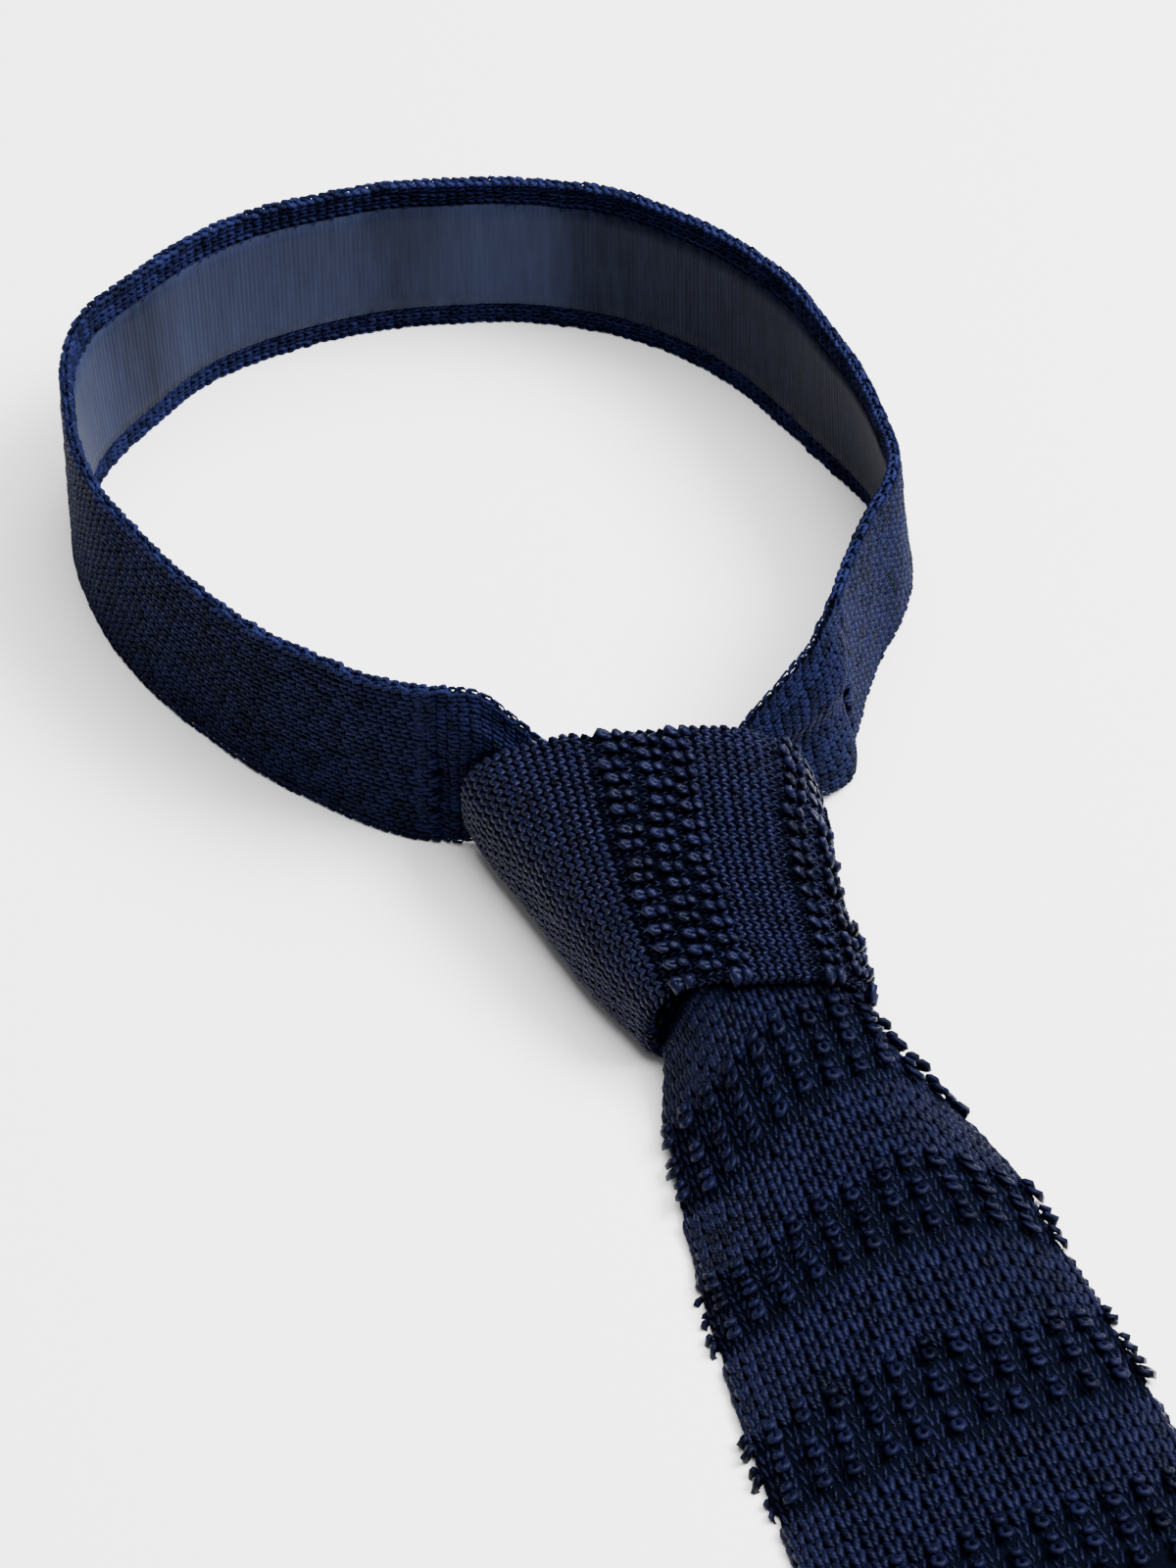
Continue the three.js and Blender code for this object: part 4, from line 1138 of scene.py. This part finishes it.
class TIE_OT_blade(bpy.types.Operator):
    """The front blade: bands of plain stitches and bands of raised ribs"""

    bl_idname = "knit_tie.blade"
    bl_label = "Front blade"

    def execute(self, context):
        mm, rows, skin = blade_skin()
        closing = rows[-1].copy()
        closing = closing.mean(axis=0) + (closing - closing.mean(axis=0)) * [0.98, 1, 0.55] + [0, -0.7, 0]
        cloth = closed_cloth("front_blade_cloth", np.concatenate([rows[::2], [closing]]),
                             np.append(mm[::2], BLADE_LENGTH))
        dress(cloth, ground_material())
        near, ribs, far = Knitting(11), Knitting(12), Knitting(13)
        self.stitches(near, ribs, far, skin, context.scene.knit_tie.yarn_thickness * 1000)
        for name, knitting in (("front_blade_plain", near), ("front_blade_ribs", ribs),
                               ("front_blade_lower", far)):
            dress(knitting.mesh(name), yarn_material(context, "loose"))
        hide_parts("front_blade")
        return {"FINISHED"}

    def stitches(self, near, ribs, far, skin, thickness):
        """Sixteen wales to each side and one round each edge, all along the blade."""

        def place(across, along, lift):
            return skin.at(along + blade_pull(across, along), across, lift)

        def low(across, along, lift):
            return place(across, along, lift - BLADE_LOW_DEPTH)

        def across_at(wale, along):
            arc = float(skin.half(along) - 6.5)
            share = wale * max(1 / 16, 1.4 / arc)
            return arc * share * (1.08 - 0.08 * share * share), arc

        plain, plain_far = plain_stitch(5, True, thickness), plain_stitch(3, False, thickness)
        rib, rib_far = rib_stitch(), rib_stitch(4, 7)
        near_cells, far_cells, rib_cells, far_rib_cells, low_cells = [], [], [], [], []

        def row_of(b, wales, spread, length, targets):
            """Adds a row of cells at wales that are spread apart, as long as they are on the blade."""
            for w in wales:
                a, arc = across_at(w, b)
                size = abs(across_at(w + 0.5 * spread, b)[0] - across_at(w - 0.5 * spread, b)[0])
                reach = arc + (1.6 if spread > 1 else 2.6)
                if abs(a) < reach and b > 1 - BLADE_INSIDE and b + length < BLADE_LENGTH:
                    targets.append((a, b, size, length))

        def rise_of(cells):
            """The ribs round the edges lie flat."""
            across, along = np.array(cells)[:, :2].T
            return np.where(np.abs(across) > skin.half(along) - FLAT_RIBS, 0.4, 1.0)

        start = RIB_FIRST - 0.5 * RIB_BAND - PATTERN_REPEAT
        while start < BLADE_LENGTH:
            for row in range(RIB_ROWS):
                b = start + 0.6 + row * RIB_ROW
                row_of(b, 2 * np.arange(-9, 10), 2.0, RIB_ROW, rib_cells if b < 100 else far_rib_cells)
            for course in range(LOW_COURSES):
                b = start + (course + 0.5) * RIB_BAND / LOW_COURSES
                if b < 100:
                    row_of(b, np.arange(-17, 18), 1.0, PLAIN_COURSE, low_cells)
            for course in range(PLAIN_COURSES):
                b = start + RIB_BAND + (course + 0.5) * PLAIN_COURSE
                row_of(b, np.arange(-17, 18), 1.0, PLAIN_COURSE, near_cells if b < 115 else far_cells)
            start += PATTERN_REPEAT
        near.lay(plain, near_cells, place)
        near.lay(plain_far, low_cells, low)
        ribs.lay(rib, rib_cells, place, 0.05, rise_of(rib_cells))
        far.lay(plain_far, far_cells, place)
        far.lay(rib_far, far_rib_cells, place, 0.05, rise_of(far_rib_cells))


class TIE_OT_tail(bpy.types.Operator):
    """The narrow blade under the front one"""

    bl_idname = "knit_tie.tail"
    bl_label = "Tail"

    def execute(self, context):
        mm = np.concatenate([np.arange(-TAIL_INSIDE, TAIL_LENGTH - 1, 2.0), [TAIL_LENGTH - 0.9]])
        rows, middle = flat_tube(tail_middle, mm, 1.1, steps=20, under=10)
        closing = rows[-1].mean(axis=0) + (rows[-1] - rows[-1].mean(axis=0)) * [0.97, 1, 0.55] + [0, -0.7, 0]
        cloth = closed_cloth("tail_cloth", np.concatenate([rows, [closing]]), np.append(mm, TAIL_LENGTH))
        dress(cloth, flat_knit("Silk knitting, plain side of the tail"))
        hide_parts("tail")
        return {"FINISHED"}


class TIE_OT_stage(bpy.types.Operator):
    """Pale floor, soft studio light and the camera"""

    bl_idname = "knit_tie.stage"
    bl_label = "Stage"

    def execute(self, context):
        corners = [(3000.0 * x, 3000.0 * y, -0.02) for x, y in ((-1, -1), (1, -1), (1, 1), (-1, 1))]
        floor = mesh_object("floor", np.array(corners), np.array([[0, 1, 2, 3]]))
        material = new_material("Seamless paper, matt white", {
            "Base Color": linear("#f2f2f2"), "Roughness": 0.9, "Specular IOR Level": 0.1})[0]
        floor.data.materials.append(material)
        self.camera(context)
        self.light("overhead_light", 135.0, 2.0, (0.4, 0.2, 1.7))
        self.light("key_light", 75.0, 0.7, (0.95, 0.1, 1.3))
        world = bpy.data.worlds.new("Pale studio")
        world.use_nodes = True
        world.node_tree.nodes["Background"].inputs[0].default_value = (1.0, 1.0, 1.0, 1.0)
        world.node_tree.nodes["Background"].inputs[1].default_value = 0.25
        context.scene.world = world
        return {"FINISHED"}

    def camera(self, context):
        """The camera looks down at 51 degrees, turned 20 degrees to the left of the blade."""
        azimuth, elevation = math.radians(-20), math.radians(51)
        back = Vector((math.sin(azimuth) * math.cos(elevation), -math.cos(azimuth) * math.cos(elevation),
                       math.sin(elevation)))
        target = Vector((SHIFT + [-4.9, 14.7, 0]) * 0.001)
        data = bpy.data.cameras.new("camera")
        data.lens, data.sensor_width = 117.0, 36.0
        data.clip_start, data.clip_end = 0.05, 20.0
        camera = bpy.data.objects.new("camera", data)
        camera.location = target + back * 0.8097
        camera.rotation_mode = "QUATERNION"
        camera.rotation_quaternion = (-back).to_track_quat("-Z", "Y")
        context.scene.collection.objects.link(camera)
        context.scene.camera = camera

    def light(self, name, power_w, size, direction):
        """A soft square light: direction is right in the picture, away from the camera and up."""
        azimuth = math.radians(-20)
        right = Vector((math.cos(azimuth), math.sin(azimuth), 0))
        away = Vector((-math.sin(azimuth), math.cos(azimuth), 0))
        target = Vector(SHIFT * 0.001)
        data = bpy.data.lights.new(name, "AREA")
        data.energy, data.size = power_w, size
        light = bpy.data.objects.new(name, data)
        light.location = target + right * direction[0] + away * direction[1] + Vector((0, 0, direction[2]))
        light.rotation_mode = "QUATERNION"
        light.rotation_quaternion = (target - light.location).to_track_quat("-Z", "Y")
        bpy.context.scene.collection.objects.link(light)


class TIE_PT_panel(bpy.types.Panel):
    """Sizes, colours and pieces of the tie"""

    bl_idname = "TIE_PT_panel"
    bl_label = "Knit tie"
    bl_space_type = "VIEW_3D"
    bl_region_type = "UI"
    bl_category = "Knit tie"

    def draw(self, context):
        for group in (context.scene.knit_tie, context.scene.knit_tie_colours):
            box = self.layout.box()
            for name in group.__annotations__:
                box.prop(group, name)
        for operator in OPERATORS:
            self.layout.operator(operator.bl_idname)


OPERATORS = (TIE_OT_stage, TIE_OT_tail, TIE_OT_blade, TIE_OT_knot, TIE_OT_neckband, TIE_OT_ribbon)
CLASSES = (TieSizes, TieColours) + OPERATORS + (TIE_PT_panel,)


def register():
    for made in CLASSES:
        bpy.utils.register_class(made)
    bpy.types.Scene.knit_tie = PointerProperty(type=TieSizes)
    bpy.types.Scene.knit_tie_colours = PointerProperty(type=TieColours)


def unregister():
    del bpy.types.Scene.knit_tie_colours
    del bpy.types.Scene.knit_tie
    for made in reversed(CLASSES):
        bpy.utils.unregister_class(made)


def main():
    register()
    for build in (bpy.ops.knit_tie.stage, bpy.ops.knit_tie.tail, bpy.ops.knit_tie.blade, bpy.ops.knit_tie.knot,
                  bpy.ops.knit_tie.neckband, bpy.ops.knit_tie.ribbon):
        build()


if __name__ == "__main__":
    main()
